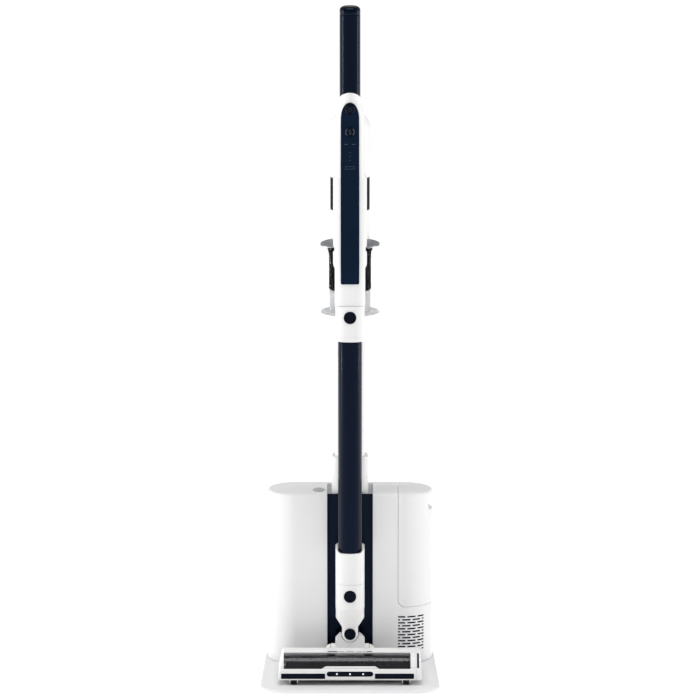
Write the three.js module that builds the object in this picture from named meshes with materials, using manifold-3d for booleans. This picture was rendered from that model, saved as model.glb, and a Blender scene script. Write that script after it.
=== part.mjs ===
// A cordless stick vacuum standing on its self-emptying dock, in millimetres.
// X runs to the right, Y to the back, Z up. The origin is under the middle of the dock's base plate.
import * as THREE from "three";
import { mergeVertices } from "three/addons/utils/BufferGeometryUtils.js";
import Module from "manifold-3d";

const wasm = await Module();
wasm.setup();

// ---------------------------------------------------------------- driving sizes

const GAP = 0.3; // between pieces that touch or slide
const CUT = 2; // how far a cutter runs past the face it opens

const STICK_Y = -7; // the wand's axis, in front of the dock's pole
const CUP_Y = 34; // the dust cup's axis, behind the wand

const BASE = { bottom: 2, top: 8, front: -147, back: 138, frontHalf: 148.5, backHalf: 141, edge: 2.5 };
const STATION = { half: 137.5, radius: 48, middle: 68, bottom: 8.3, top: 298, wall: 3, edge: 3 };
const DOOR = { left: 79.5, bottom: 105, corner: 12 };
const RECESS = { half: 38, depth: 8, bottom: 11 };
const CHANNEL = { floor: 294, back: 100 }; // in the station's top, where the pole stands
const POLE = { half: 25.2, front: 30, back: 74, corner: 14, wall: 3, bottom: 294.6, top: 594 };
const SOCKET = { half: 30.6, front: 28, back: 80, corner: 16, bottom: 294.3, top: 359 };
const CUP = { radius: 48.8, wall: 2.2, bottom: 600, floor: 605, rim: 718, top: 720, lidTop: 727.6 };
const TUBE = { radius: 19.9, wall: 2.4, bottom: 166, top: 595 };
const SPINE = { front: -27, back: 6, bottom: 624.8, waist: 690, seam: 836, shoulder: 948 };
const PANEL = { half: 15, bottom: 662, top: 961.6, arch: 28, front: -28.6, back: -25.6 };
const GRIP = { radius: 17, top: 1103.5, bore: 12.7, cutHeight: 968.6, cutSlope: -0.53 };
const ROLLER = { y: -86, z: 29.5, radius: 20, bore: 12.6, left: -106, right: 98 };
const PIVOT_Z = 70; // the swivel between the neck and the yoke
const HINGE = { y: STICK_Y, z: 38, radius: 12, half: 32.3, pin: 3 };
const HEAD = { left: -118, right: 108.6, capLeft: 108.9, capRight: 118, bottom: 16, top: 55.9 };

// ---------------------------------------------------------------- colours

const material = (color, roughness, metalness = 0) =>
  new THREE.MeshStandardMaterial({ color, roughness, metalness });

const WHITE = material(0xf4f4f2, 0.4);
const PALE = material(0xe9e9ea, 0.5);
const NAVY = material(0x171d2c, 0.3);
const BLACK = material(0x101216, 0.25);
const GREY = material(0x8d9096, 0.45);
const RUBBER = material(0x1c1c1e, 0.85);
const METAL = material(0xb8bbc0, 0.3, 1);
const CLEAR = material(0xdfe6ea, 0.08);
const CLOTH = material(0xf0efe9, 0.9);
const CARD = material(0xc9b48f, 0.85);
const BRISTLE = material(0x55525a, 0.8);

// ---------------------------------------------------------------- solids

// A geometry as a manifold solid, turned right side out.
function solidOf(geometry) {
  geometry.deleteAttribute("normal");
  geometry.deleteAttribute("uv");
  const merged = mergeVertices(geometry, 1e-4);
  const vertProperties = new Float32Array(merged.attributes.position.array);
  const triVerts = new Uint32Array(merged.index.array);
  const made = new wasm.Manifold(new wasm.Mesh({ numProp: 3, vertProperties, triVerts }));
  if (made.volume() > 0) return made;
  triVerts.reverse();
  return new wasm.Manifold(new wasm.Mesh({ numProp: 3, vertProperties, triVerts }));
}

function geometryOf(solid) {
  const mesh = solid.getMesh();
  const geometry = new THREE.BufferGeometry();
  geometry.setAttribute("position", new THREE.BufferAttribute(mesh.vertProperties, 3));
  geometry.setIndex(new THREE.BufferAttribute(mesh.triVerts, 1));
  geometry.computeVertexNormals();
  return geometry;
}

const join = (first, ...others) => others.reduce((whole, next) => whole.add(next), first);
const cut = (solid, ...tools) => tools.reduce((whole, tool) => whole.subtract(tool), solid);
const keep = (solid, region) => solid.intersect(region);

function box(x0, x1, y0, y1, z0, z1) {
  const geometry = new THREE.BoxGeometry(x1 - x0, y1 - y0, z1 - z0);
  return solidOf(geometry.translate((x0 + x1) / 2, (y0 + y1) / 2, (z0 + z1) / 2));
}

// An outline pushed through a thickness, with its edges rounded by round.
function extruded(shape, thickness, round, arcSteps) {
  return new THREE.ExtrudeGeometry(shape, {
    depth: thickness - 2 * round,
    bevelEnabled: round > 0,
    bevelThickness: round,
    bevelSize: round,
    bevelOffset: -round,
    bevelSegments: Math.min(3, Math.ceil(round / 2)),
    curveSegments: arcSteps,
  }).translate(0, 0, round);
}

// A plan outline (x, y) standing from z0 to z1.
function slab(shape, z0, z1, round = 0, arcSteps = 4) {
  return solidOf(extruded(shape, z1 - z0, round, arcSteps).translate(0, 0, z0));
}

// A front outline (x, z) running from y0 back to y1.
function frontal(shape, y0, y1, round = 0, arcSteps = 4) {
  return solidOf(extruded(shape, y1 - y0, round, arcSteps).rotateX(Math.PI / 2).translate(0, y1, 0));
}

// A side outline (y, z) running from x0 to x1.
function sidelong(shape, x0, x1, round = 0, arcSteps = 4) {
  const across = new THREE.Matrix4().makeBasis(
    new THREE.Vector3(0, 1, 0),
    new THREE.Vector3(0, 0, 1),
    new THREE.Vector3(1, 0, 0),
  );
  return solidOf(extruded(shape, x1 - x0, round, arcSteps).applyMatrix4(across).translate(x0, 0, 0));
}

// A profile of [radius, z] points turned about an upright axis at (0, y).
function turned(profile, y, steps = 32) {
  const points = profile.map(([radius, z]) => new THREE.Vector2(radius, z));
  const geometry = new THREE.LatheGeometry([...points, points[0]], steps);
  return solidOf(geometry.rotateX(Math.PI / 2).translate(0, y, 0));
}

function upright(radius, y, z0, z1, steps = 32, x = 0) {
  const geometry = new THREE.CylinderGeometry(radius, radius, z1 - z0, steps);
  return solidOf(geometry.rotateX(Math.PI / 2).translate(x, y, (z0 + z1) / 2));
}

function rodAlongX(radius, y, z, x0, x1, steps = 24) {
  const geometry = new THREE.CylinderGeometry(radius, radius, x1 - x0, steps);
  return solidOf(geometry.rotateZ(Math.PI / 2).translate((x0 + x1) / 2, y, z));
}

function rodAlongY(radius, x, z, y0, y1, steps = 24) {
  return solidOf(new THREE.CylinderGeometry(radius, radius, y1 - y0, steps).translate(x, (y0 + y1) / 2, z));
}

// ---------------------------------------------------------------- outlines

function roundedRectangle(u0, u1, v0, v1, radius) {
  const shape = new THREE.Shape();
  shape.moveTo(u0 + radius, v0);
  shape.lineTo(u1 - radius, v0);
  shape.absarc(u1 - radius, v0 + radius, radius, -Math.PI / 2, 0);
  shape.lineTo(u1, v1 - radius);
  shape.absarc(u1 - radius, v1 - radius, radius, 0, Math.PI / 2);
  shape.lineTo(u0 + radius, v1);
  shape.absarc(u0 + radius, v1 - radius, radius, Math.PI / 2, Math.PI);
  shape.lineTo(u0, v0 + radius);
  shape.absarc(u0 + radius, v0 + radius, radius, Math.PI, 1.5 * Math.PI);
  return shape;
}

// A straight-sided outline with two half-round ends.
function obround(half, middle, radius) {
  const shape = new THREE.Shape();
  shape.absarc(half - radius, middle, radius, -Math.PI / 2, Math.PI / 2);
  shape.absarc(radius - half, middle, radius, Math.PI / 2, 1.5 * Math.PI);
  shape.closePath();
  return shape;
}

function polygon(points) {
  return new THREE.Shape(points.map(([u, v]) => new THREE.Vector2(u, v)));
}

function ellipse(x, y, xRadius, yRadius) {
  const shape = new THREE.Shape();
  shape.absellipse(x, y, xRadius, yRadius, 0, 2 * Math.PI);
  return shape;
}

// ---------------------------------------------------------------- the group

const vacuum = new THREE.Group();
vacuum.name = "stick_vacuum_on_dock";

function piece(name, solid, look) {
  const mesh = new THREE.Mesh(geometryOf(solid), look);
  mesh.name = name;
  vacuum.add(mesh);
}

// ================================================================ THE DOCK

// ---- base plate, with a pocket under each corner for a rubber foot

const FOOT = { radius: 9, pocket: 2.3, places: [[-112, -100], [112, -100], [-100, 100], [100, 100]] };

function baseOutline() {
  const { front, back, frontHalf, backHalf } = BASE;
  const frontCorner = 40;
  const backCorner = 52;
  const shape = new THREE.Shape();
  shape.moveTo(frontCorner - frontHalf, front);
  shape.lineTo(frontHalf - frontCorner, front);
  shape.quadraticCurveTo(frontHalf, front, frontHalf, front + frontCorner);
  shape.lineTo(backHalf, back - backCorner);
  shape.quadraticCurveTo(backHalf, back, backHalf - backCorner, back);
  shape.lineTo(backCorner - backHalf, back);
  shape.quadraticCurveTo(-backHalf, back, -backHalf, back - backCorner);
  shape.lineTo(-frontHalf, front + frontCorner);
  shape.quadraticCurveTo(-frontHalf, front, frontCorner - frontHalf, front);
  return shape;
}

function basePlate() {
  const plate = slab(baseOutline(), BASE.bottom, BASE.top, BASE.edge, 8);
  const pockets = FOOT.places.map(([x, y]) =>
    upright(FOOT.radius + GAP, y, BASE.bottom - CUT, BASE.bottom + FOOT.pocket, 24, x),
  );
  return cut(plate, ...pockets);
}

piece("base_plate", basePlate(), PALE);

FOOT.places.forEach(([x, y], i) => {
  const foot = upright(FOOT.radius, y, 0, BASE.bottom + FOOT.pocket - GAP, 24, x);
  piece("foot_" + (i + 1), foot, RUBBER);
});

// ---- station: one hollow moulding, open on its right where the door is

const INLET = { x: -60, z: 35, half: 11, tall: 8, depth: 13 };
const BUTTON_TOP = { x: -52, y: 53, xRadius: 9.5, yRadius: 14 };
const VENT = { rows: 12, bottom: 30.5, pitch: 5.13, slot: 12.6, high: 2.6, gap: 3.4, left: 80, right: 124, depth: 28 };

const stationFront = STATION.middle - STATION.radius;
const stationBack = STATION.middle + STATION.radius;
const recessBack = stationFront + RECESS.depth;

function stationOutline(inset) {
  return obround(STATION.half - inset, STATION.middle, STATION.radius - inset);
}

// The door's share of the station, seen from the front, drawn in by a gap.
function doorRegion(gap) {
  const far = STATION.half + CUT;
  const high = STATION.top + CUT;
  const left = DOOR.left + gap;
  const bottom = DOOR.bottom + gap;
  const shape = new THREE.Shape();
  shape.moveTo(left, high);
  shape.lineTo(left, bottom + DOOR.corner);
  shape.absarc(left + DOOR.corner, bottom + DOOR.corner, DOOR.corner, Math.PI, 1.5 * Math.PI);
  shape.lineTo(far, bottom);
  shape.lineTo(far, high);
  return frontal(shape, 0, stationBack + CUT);
}

function stationWalls() {
  const { bottom, top, wall, edge } = STATION;
  const outside = slab(stationOutline(0), bottom, top, edge, 8);
  const inside = slab(stationOutline(wall), bottom + wall, top - wall, 0, 8);
  return { outside, inside, walls: cut(outside, inside) };
}

// Rows of short slots, every other row shifted by half a slot.
function ventSlots() {
  const step = VENT.slot + VENT.gap;
  const slots = [];
  for (let row = 0; row < VENT.rows; row += 1) {
    const z = VENT.bottom + row * VENT.pitch;
    const shift = (row % 2) * (step / 2);
    for (let x = VENT.left + shift; x + VENT.slot <= VENT.right; x += step) {
      slots.push(box(x, x + VENT.slot, 0, stationFront + VENT.depth, z, z + VENT.high));
    }
  }
  return slots;
}

const DUCT = { radius: 15, wall: 2.5, y: 52, top: 284.7, drop: 38, reach: 28 };
const SHELF_HOLE = { x: 55, y: 68, radius: 16 }; // air goes down through it from the bag to the fan
const BAG_ROOM = { left: -30, floor: DOOR.bottom, roof: 285 };

// The walls round the recess, the roof over the duct, and the shelf and divider of the bag's room.
function stationInnerWalls({ outside, inside }) {
  const { bottom, top, wall } = STATION;
  const half = RECESS.half + wall;
  const backing = box(-half, half, stationFront, recessBack + wall, bottom, top);
  const roof = box(-half, half, stationFront, CHANNEL.back + wall, BAG_ROOM.roof, top);
  const left = BAG_ROOM.left - wall;
  const under = BAG_ROOM.floor - wall;
  const shelf = box(left, STATION.half, stationFront, stationBack, under, BAG_ROOM.floor);
  const divider = box(left, BAG_ROOM.left, stationFront, stationBack, under, top);
  return join(keep(join(shelf, divider), inside), keep(join(backing, roof), outside));
}

function stationShell() {
  const { outside, inside, walls } = stationWalls();
  const body = join(walls, stationInnerWalls({ outside, inside }));
  const { half } = RECESS;
  const above = STATION.top + CUT;
  const channel = box(-half, half, stationFront - CUT, CHANNEL.back, CHANNEL.floor, above);
  const recess = box(-half, half, stationFront - CUT, recessBack, RECESS.bottom, above);
  const ductHole = upright(DUCT.radius - DUCT.wall, DUCT.y, BAG_ROOM.roof - CUT, above);
  const shelfHole = upright(SHELF_HOLE.radius, SHELF_HOLE.y, 90, BAG_ROOM.floor + CUT, 24, SHELF_HOLE.x);
  const buttonHole = slab(
    ellipse(BUTTON_TOP.x, BUTTON_TOP.y, BUTTON_TOP.xRadius + GAP, BUTTON_TOP.yRadius + GAP),
    STATION.top - STATION.wall - CUT,
    STATION.top + CUT,
  );
  const inletHole = box(
    INLET.x - INLET.half - GAP,
    INLET.x + INLET.half + GAP,
    stationBack - STATION.wall - CUT,
    stationBack + CUT,
    INLET.z - INLET.tall - GAP,
    INLET.z + INLET.tall + GAP,
  );
  return cut(
    body,
    channel,
    recess,
    ductHole,
    shelfHole,
    buttonHole,
    inletHole,
    doorRegion(0),
    ...ventSlots(),
  );
}

piece("station_shell", stationShell(), WHITE);

// ---- door on the station's right end, with a finger notch near its top

const NOTCH = { bottom: 265, top: 285, front: 50, back: 86, depth: 7 };

function sideDoor() {
  const { outside, walls } = stationWalls();
  const far = STATION.half;
  const round = 4; // of the boss, beyond the notch that is sunk in it
  const boss = box(
    far - NOTCH.depth - round,
    far,
    NOTCH.front - round,
    NOTCH.back + round,
    NOTCH.bottom - round,
    NOTCH.top + round,
  );
  const skin = join(walls, keep(boss, outside));
  const notch = box(far - NOTCH.depth, far + CUT, NOTCH.front, NOTCH.back, NOTCH.bottom, NOTCH.top);
  return cut(keep(skin, doorRegion(GAP)), notch);
}

piece("side_door", sideDoor(), WHITE);

// A soft frame inside the opening that the door closes against.
function doorSeal() {
  const inset = STATION.wall + GAP;
  const y0 = stationFront + inset;
  const y1 = stationBack - inset;
  const z0 = DOOR.bottom + GAP;
  const z1 = STATION.top - inset;
  const width = 2.5;
  const x0 = DOOR.left - 5.5;
  const x1 = x0 + 4;
  const outer = sidelong(roundedRectangle(y0, y1, z0, z1, 3), x0, x1, 0, 3);
  const inner = sidelong(
    roundedRectangle(y0 + width, y1 - width, z0 + width, z1 - width, 2),
    x0 - CUT,
    x1 + CUT,
    0,
    3,
  );
  return cut(outer, inner);
}

piece("door_seal", doorSeal(), RUBBER);

// ---- dark strip that lines the recess behind the wand

const stripBack = recessBack - GAP;
const STRIP = { half: RECESS.half - GAP, front: stripBack - 2, bottom: RECESS.bottom + GAP, top: 297.7 };

piece(
  "front_strip",
  frontal(
    roundedRectangle(-STRIP.half, STRIP.half, STRIP.bottom, STRIP.top, 2),
    STRIP.front,
    stripBack,
    0,
    3,
  ),
  NAVY,
);

// ---- oval button on the station's top

piece(
  "top_button",
  slab(
    ellipse(BUTTON_TOP.x, BUTTON_TOP.y, BUTTON_TOP.xRadius, BUTTON_TOP.yRadius),
    STATION.top - 7,
    STATION.top + 1,
    0.8,
  ),
  GREY,
);

// ---- pole, its socket, the port on top and the charging contacts

function poleOutline(inset) {
  const { half, front, back, corner } = POLE;
  return roundedRectangle(inset - half, half - inset, front + inset, back - inset, corner - inset);
}

function rearPole() {
  const outer = slab(poleOutline(0), POLE.bottom, POLE.top, 0, 3);
  const duct = slab(poleOutline(POLE.wall), POLE.bottom - CUT, POLE.top + CUT, 0, 6);
  return cut(outer, duct);
}

function poleSocket() {
  const { half, front, back, corner, top } = SOCKET;
  const outer = slab(roundedRectangle(-half, half, front, back, corner), SOCKET.bottom, top, 1.5, 3);
  return cut(outer, slab(poleOutline(-GAP), SOCKET.bottom - CUT, top + CUT, 0, 3));
}

function portSeal() {
  const ring = slab(poleOutline(0.4), POLE.top + GAP, POLE.top + 3.5, 1, 3);
  return cut(ring, slab(poleOutline(POLE.wall + 0.4), POLE.top - CUT, POLE.top + 6, 0, 3));
}

piece("rear_pole", rearPole(), WHITE);
piece("pole_socket", poleSocket(), WHITE);
piece("port_seal", portSeal(), RUBBER);

const contactBlock = frontal(roundedRectangle(-9, 9, 568, 590, 3), 20, POLE.front - GAP, 0.8, 2);
piece("charge_contacts", contactBlock, BLACK);

// ---- inside the station: duct, bag, fan and filter

function dustDuct() {
  const { top } = DUCT;
  const path = new THREE.QuadraticBezierCurve3(
    new THREE.Vector3(0, DUCT.y, top),
    new THREE.Vector3(0, DUCT.y, top - DUCT.drop),
    new THREE.Vector3(DUCT.reach, DUCT.y, top - DUCT.drop),
  );
  const sweep = (radius, curve) =>
    solidOf(
      new THREE.ExtrudeGeometry(ellipse(0, 0, radius, radius), {
        steps: 6,
        extrudePath: curve,
        curveSegments: 8,
      }),
    );
  const entry = upright(DUCT.radius - DUCT.wall, DUCT.y, top - 4, top + CUT, 16);
  const exit = rodAlongX(
    DUCT.radius - DUCT.wall,
    DUCT.y,
    top - DUCT.drop,
    DUCT.reach - 4,
    DUCT.reach + CUT,
    16,
  );
  return cut(sweep(DUCT.radius, path), sweep(DUCT.radius - DUCT.wall, path), entry, exit);
}

piece("dust_duct", dustDuct(), GREY);

const BAG = { left: 33, right: 124, front: 32, back: 104, bottom: 110, top: 283 };

function bagCollar() {
  const mouth = DUCT.top - DUCT.drop;
  const plate = sidelong(
    roundedRectangle(DUCT.y - 18, DUCT.y + 38, mouth - 41, mouth + 31, 4),
    BAG.left - 4,
    BAG.left - GAP,
    0,
    4,
  );
  return cut(plate, rodAlongX(DUCT.radius - DUCT.wall, DUCT.y, mouth, BAG.left - 8, BAG.left + CUT, 20));
}

piece("bag_collar", bagCollar(), CARD);
piece(
  "dust_bag",
  slab(roundedRectangle(BAG.left, BAG.right, BAG.front, BAG.back, 32), BAG.bottom, BAG.top, 12, 4),
  CLOTH,
);

const FAN = { x: -20, y: 68, wide: 36, narrow: 27, waist: 62, top: 92 };

function dockFan() {
  const { x, y, wide, narrow, waist, top } = FAN;
  const bottom = STATION.bottom + STATION.wall + GAP;
  return join(upright(wide, y, bottom, waist, 28, x), upright(narrow, y, waist, top, 28, x));
}

const EXHAUST = { left: 50, right: 112, front: 30, back: 44, bottom: 30, top: 96 };

piece("dock_fan", dockFan(), GREY);
piece(
  "exhaust_filter",
  box(EXHAUST.left, EXHAUST.right, EXHAUST.front, EXHAUST.back, EXHAUST.bottom, EXHAUST.top),
  CLOTH,
);

// ---- mains inlet in the back wall

function powerInlet() {
  const { x, z, half, tall, depth } = INLET;
  const rim = 3;
  const outline = roundedRectangle(x - half, x + half, z - tall, z + tall, 2);
  const wellOutline = roundedRectangle(x - half + rim, x + half - rim, z - tall + rim, z + tall - rim, 4.5);
  const block = frontal(outline, stationBack - depth, stationBack, 0, 4);
  return cut(block, frontal(wellOutline, stationBack - depth + rim + 1, stationBack + CUT, 0, 5));
}

piece("power_inlet", powerInlet(), BLACK);

// ================================================================ THE STICK

// ---- wand tube and the two collars it pushes into

const COLLAR = { bottom: 565.5, top: 624.5, half: 24.35, front: -30, back: 16.5, corner: 17 };
const NECK = { half: 24, front: -30, back: 16, corner: 17, seam: 155.4, bottom: 95, bore: 165.7, rim: 218 };
const RELEASE = { radius: 10.1, front: -31.4, back: -28.8, collarZ: 606.6, neckZ: 136 };

function wandTube() {
  const inner = upright(TUBE.radius - TUBE.wall, STICK_Y, TUBE.bottom - CUT, TUBE.top + CUT);
  return cut(upright(TUBE.radius, STICK_Y, TUBE.bottom, TUBE.top), inner);
}

// The space that the dust cup and its lid stand in, cut out of what is in front of them.
function cupRoom() {
  return upright(CUP.radius + 2 * GAP, CUP_Y, CUP.bottom - 2 * GAP, CUP.lidTop + GAP, 64);
}

function releaseHole(z, depth) {
  return rodAlongY(RELEASE.radius + GAP, 0, z, COLLAR.front - CUT, COLLAR.front + depth);
}

function tubeCollar() {
  const { half, front, back, corner, bottom, top } = COLLAR;
  const body = slab(roundedRectangle(-half, half, front, back, corner), bottom, top, 1, 4);
  const bore = upright(TUBE.radius + GAP, STICK_Y, bottom - CUT, TUBE.top + GAP);
  const pocket = releaseHole(RELEASE.collarZ, 3);
  return cut(body, bore, cupRoom(), pocket);
}

function releaseButton(z) {
  const ring = ellipse(0, z, RELEASE.radius, RELEASE.radius);
  return frontal(ring, RELEASE.front, RELEASE.back, 0.6, 12);
}

piece("wand_tube", wandTube(), BLACK);
piece("tube_collar", tubeCollar(), WHITE);
piece("wand_release", releaseButton(RELEASE.collarZ), BLACK);

// Everything above a sloping plane that crosses the wand's axis at a height.
function aboveSlope(height, slope) {
  const size = 400;
  const block = new THREE.BoxGeometry(size, size, size).translate(0, 0, size / 2);
  return solidOf(block.rotateX(Math.atan(slope)).translate(0, STICK_Y, height));
}

function neckOutline() {
  return roundedRectangle(-NECK.half, NECK.half, NECK.front, NECK.back, NECK.corner);
}

function neckCollar() {
  const body = slab(neckOutline(), NECK.seam + GAP, NECK.rim);
  const bore = upright(TUBE.radius + GAP, STICK_Y, NECK.bore, NECK.rim + CUT);
  const airway = upright(TUBE.radius - TUBE.wall, STICK_Y, NECK.seam - CUT, NECK.bore + CUT);
  return cut(body, bore, airway, aboveSlope(NECK.rim - 0.5, 0.42));
}

// A tongue with a half-round lower end about the swivel.
function tongueOutline(half, top) {
  const shape = new THREE.Shape();
  shape.moveTo(half, top);
  shape.lineTo(-half, top);
  shape.lineTo(-half, PIVOT_Z);
  shape.absarc(0, PIVOT_Z, half, Math.PI, 2 * Math.PI);
  return shape;
}

const FORK = { front: -22, back: 8, slotFront: -14, slotBack: 0, half: 13.5 };
const PIN = { radius: 5, cap: 9.6, capDepth: 2.4 };

function neckBase() {
  const body = slab(neckOutline(), NECK.bottom, NECK.seam, 5);
  const fork = frontal(tongueOutline(FORK.half, NECK.bottom + 8), FORK.front, FORK.back);
  const slot = box(-NECK.half, NECK.half, FORK.slotFront, FORK.slotBack, PIVOT_Z - 20, NECK.bottom - 4);
  const pinHole = rodAlongY(PIN.radius + GAP, 0, PIVOT_Z, FORK.front - CUT, FORK.back + CUT);
  const airway = upright(TUBE.radius - TUBE.wall, STICK_Y, NECK.bottom + 14, NECK.seam + CUT);
  return cut(join(body, fork), slot, pinHole, airway, releaseHole(RELEASE.neckZ, 6));
}

piece("neck_collar", neckCollar(), WHITE);
piece("neck_base", neckBase(), WHITE);
piece("neck_release", releaseButton(RELEASE.neckZ), BLACK);

function swivelPin() {
  const shaft = rodAlongY(PIN.radius, 0, PIVOT_Z, FORK.front - 1, FORK.back);
  const cap = frontal(
    ellipse(0, PIVOT_Z, PIN.cap, PIN.cap),
    FORK.front - GAP - PIN.capDepth,
    FORK.front - GAP,
    0.6,
    10,
  );
  return join(shaft, cap);
}

piece("swivel_pin", swivelPin(), BLACK);

// ---- front spine: carries the panel, the battery and the post that the grip slides on

const SPINE_CAVITY = { half: 18, front: -22, bottom: 735, top: 925 };
const CROWN = { radius: GRIP.radius + 10, bottom: SPINE.shoulder - 6 }; // where the spine closes round the grip

function panelOutline(grow) {
  const half = PANEL.half + grow;
  const top = PANEL.top + grow;
  const spring = PANEL.top - PANEL.arch;
  const shape = new THREE.Shape();
  shape.moveTo(-half, PANEL.bottom - grow);
  shape.lineTo(half, PANEL.bottom - grow);
  shape.lineTo(half, spring);
  shape.bezierCurveTo(half, spring + 17, 9, top, 0, top);
  shape.bezierCurveTo(-9, top, -half, spring + 17, -half, spring);
  return shape;
}

function spineBlock(half, bottom, top) {
  return slab(roundedRectangle(-half, half, SPINE.front, SPINE.back + 14, 13), bottom, top);
}

function frontSpine() {
  const lower = spineBlock(25, SPINE.bottom, SPINE.waist);
  const middle = spineBlock(27.6, SPINE.waist, SPINE.seam);
  const upper = spineBlock(23, SPINE.seam, SPINE.shoulder);
  const neck = turned(
    [
      [0, SPINE.shoulder - 14],
      [26, SPINE.shoulder - 14],
      [25.6, SPINE.shoulder - 7],
      [23.1, SPINE.shoulder],
      [20.2, SPINE.shoulder + 8],
      [18.6, SPINE.shoulder + 16],
      [17.5, SPINE.shoulder + 26],
      [17, SPINE.shoulder + 48],
      [0, SPINE.shoulder + 48],
    ],
    STICK_Y,
  );
  const backing = frontal(panelOutline(2.5), SPINE.front, STICK_Y);
  const seen = cut(join(lower, middle, upper, neck, backing), aboveSlope(GRIP.cutHeight, GRIP.cutSlope));
  const halfSpace = box(-60, 60, SPINE.front, SPINE.back, SPINE.bottom, GRIP.top);
  const crown = upright(CROWN.radius, STICK_Y, CROWN.bottom, GRIP.top);
  const post = upright(GRIP.bore - GAP, STICK_Y, SPINE.shoulder, GRIP.top - 7, 24);
  const body = join(keep(seen, join(halfSpace, keep(seen, crown))), post);
  const cavity = box(
    -SPINE_CAVITY.half,
    SPINE_CAVITY.half,
    SPINE_CAVITY.front,
    SPINE.back + CUT,
    SPINE_CAVITY.bottom,
    SPINE_CAVITY.top,
  );
  const recess = frontal(panelOutline(2 * GAP), SPINE.front - 8, PANEL.back + GAP, 0, 6);
  const buttonPockets = [BUTTONS.power, BUTTONS.mode].map((z) =>
    rodAlongY(BUTTONS.radius + GAP, 0, z, SPINE.front - 8, PANEL.back + 3),
  );
  return cut(body, cavity, recess, cupRoom(), ...buttonPockets);
}

const BUTTONS = { power: 951.1, mode: 914, radius: 8.2, front: -29.4, back: -25.6 };

function controlPanel() {
  const plate = frontal(panelOutline(0), PANEL.front, PANEL.back, 0.6, 6);
  const holes = [BUTTONS.power, BUTTONS.mode].map((z) =>
    rodAlongY(BUTTONS.radius + GAP, 0, z, PANEL.front - CUT, PANEL.back + CUT),
  );
  return cut(plate, ...holes);
}

function panelButton(z) {
  return frontal(ellipse(0, z, BUTTONS.radius, BUTTONS.radius), BUTTONS.front, BUTTONS.back, 0.5, 10);
}

piece("front_spine", frontSpine(), WHITE);
piece("control_panel", controlPanel(), NAVY);
piece("power_button", panelButton(BUTTONS.power), BLACK);
piece("mode_button", panelButton(BUTTONS.mode), BLACK);

// ---- grip sleeve and its domed cap

function gripTube() {
  const sleeve = upright(GRIP.radius, STICK_Y, SPINE.shoulder, GRIP.top);
  const bore = upright(GRIP.bore, STICK_Y, SPINE.shoulder - CUT, GRIP.top - 5, 24);
  return cut(keep(sleeve, aboveSlope(GRIP.cutHeight + GAP, GRIP.cutSlope)), bore);
}

function gripCap() {
  const bottom = GRIP.top + GAP;
  return turned(
    [
      [0, bottom],
      [GRIP.radius, bottom],
      [GRIP.radius, bottom + 3],
      [16.2, bottom + 7],
      [14, bottom + 10.2],
      [10, bottom + 12.4],
      [5, bottom + 13.4],
      [0, bottom + 13.7],
    ],
    STICK_Y,
  );
}

piece("grip_tube", gripTube(), BLACK);
piece("grip_cap", gripCap(), BLACK);

// ---- round rear housing in two rings, with a vent in each side of the lower one

const HOUSING = { upper: 35.5, lower: 32.5, wall: 2.5, bottom: 728.3, split: 836, room: 906 };
const SIDE_VENT = { front: 16.5, back: 48, bottom: 776.5, top: 831, slots: 5 };

// What is behind the spine's back face.
const behindSpine = () => box(-60, 60, SPINE.back + GAP, 120, HOUSING.bottom, SPINE.shoulder + 10);

function upperHousing() {
  const { upper, wall, split } = HOUSING;
  const outer = turned(
    [
      [0, split + GAP],
      [upper, split + GAP],
      [upper, 912],
      [34.4, 917.5],
      [31, 924],
      [25.5, 931],
      [18, 938.5],
      [8, 946],
      [0, 950],
    ],
    CUP_Y,
    40,
  );
  const hollow = upright(upper - wall, CUP_Y, split - CUT, HOUSING.room, 40);
  const crownRoom = upright(CROWN.radius + GAP, STICK_Y, CROWN.bottom - GAP, GRIP.top);
  return cut(keep(outer, behindSpine()), hollow, crownRoom);
}

function ventOpening(side, grow) {
  const x0 = side > 0 ? 24 : -60;
  return box(
    x0,
    x0 + 36,
    SIDE_VENT.front - grow,
    SIDE_VENT.back + grow,
    SIDE_VENT.bottom - grow,
    SIDE_VENT.top + grow,
  );
}

function lowerHousing() {
  const { lower, wall, bottom, split } = HOUSING;
  const outer = upright(lower, CUP_Y, bottom, split, 40);
  const hollow = upright(lower - wall, CUP_Y, bottom + 2, split + CUT, 40);
  const inletHole = upright(19, CUP_Y, bottom - CUT, bottom + 4);
  return cut(
    keep(outer, behindSpine()),
    hollow,
    inletHole,
    ventOpening(1, 0),
    ventOpening(-1, 0),
  );
}

function sideVent(side) {
  const ring = cut(
    upright(HOUSING.lower, CUP_Y, SIDE_VENT.bottom, SIDE_VENT.top, 40),
    upright(HOUSING.lower - HOUSING.wall, CUP_Y, 700, 900, 40),
  );
  const insert = keep(ring, ventOpening(side, -GAP));
  const pitch = (SIDE_VENT.back - SIDE_VENT.front) / (SIDE_VENT.slots + 0.5);
  const slots = Array.from({ length: SIDE_VENT.slots }, (_, i) => {
    const y = SIDE_VENT.front + pitch * (i + 0.6);
    return box(-60, 60, y, y + pitch / 2, SIDE_VENT.bottom + 5, SIDE_VENT.top - 5);
  });
  return cut(insert, ...slots);
}

piece("upper_housing", upperHousing(), WHITE);
piece("lower_housing", lowerHousing(), WHITE);
piece("vent_left", sideVent(-1), NAVY);
piece("vent_right", sideVent(1), NAVY);

// ---- inside the housing: fan motor, filter and battery

function fanMotor() {
  return turned(
    [
      [0, 750],
      [24, 750],
      [26, 756],
      [26, 806],
      [16, 812],
      [16, 832],
      [0, 832],
    ],
    CUP_Y,
    24,
  );
}

function motorFilter() {
  return turned(
    [
      [10, 731],
      [26, 731],
      [26, 747],
      [10, 747],
    ],
    CUP_Y,
    24,
  );
}

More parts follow.
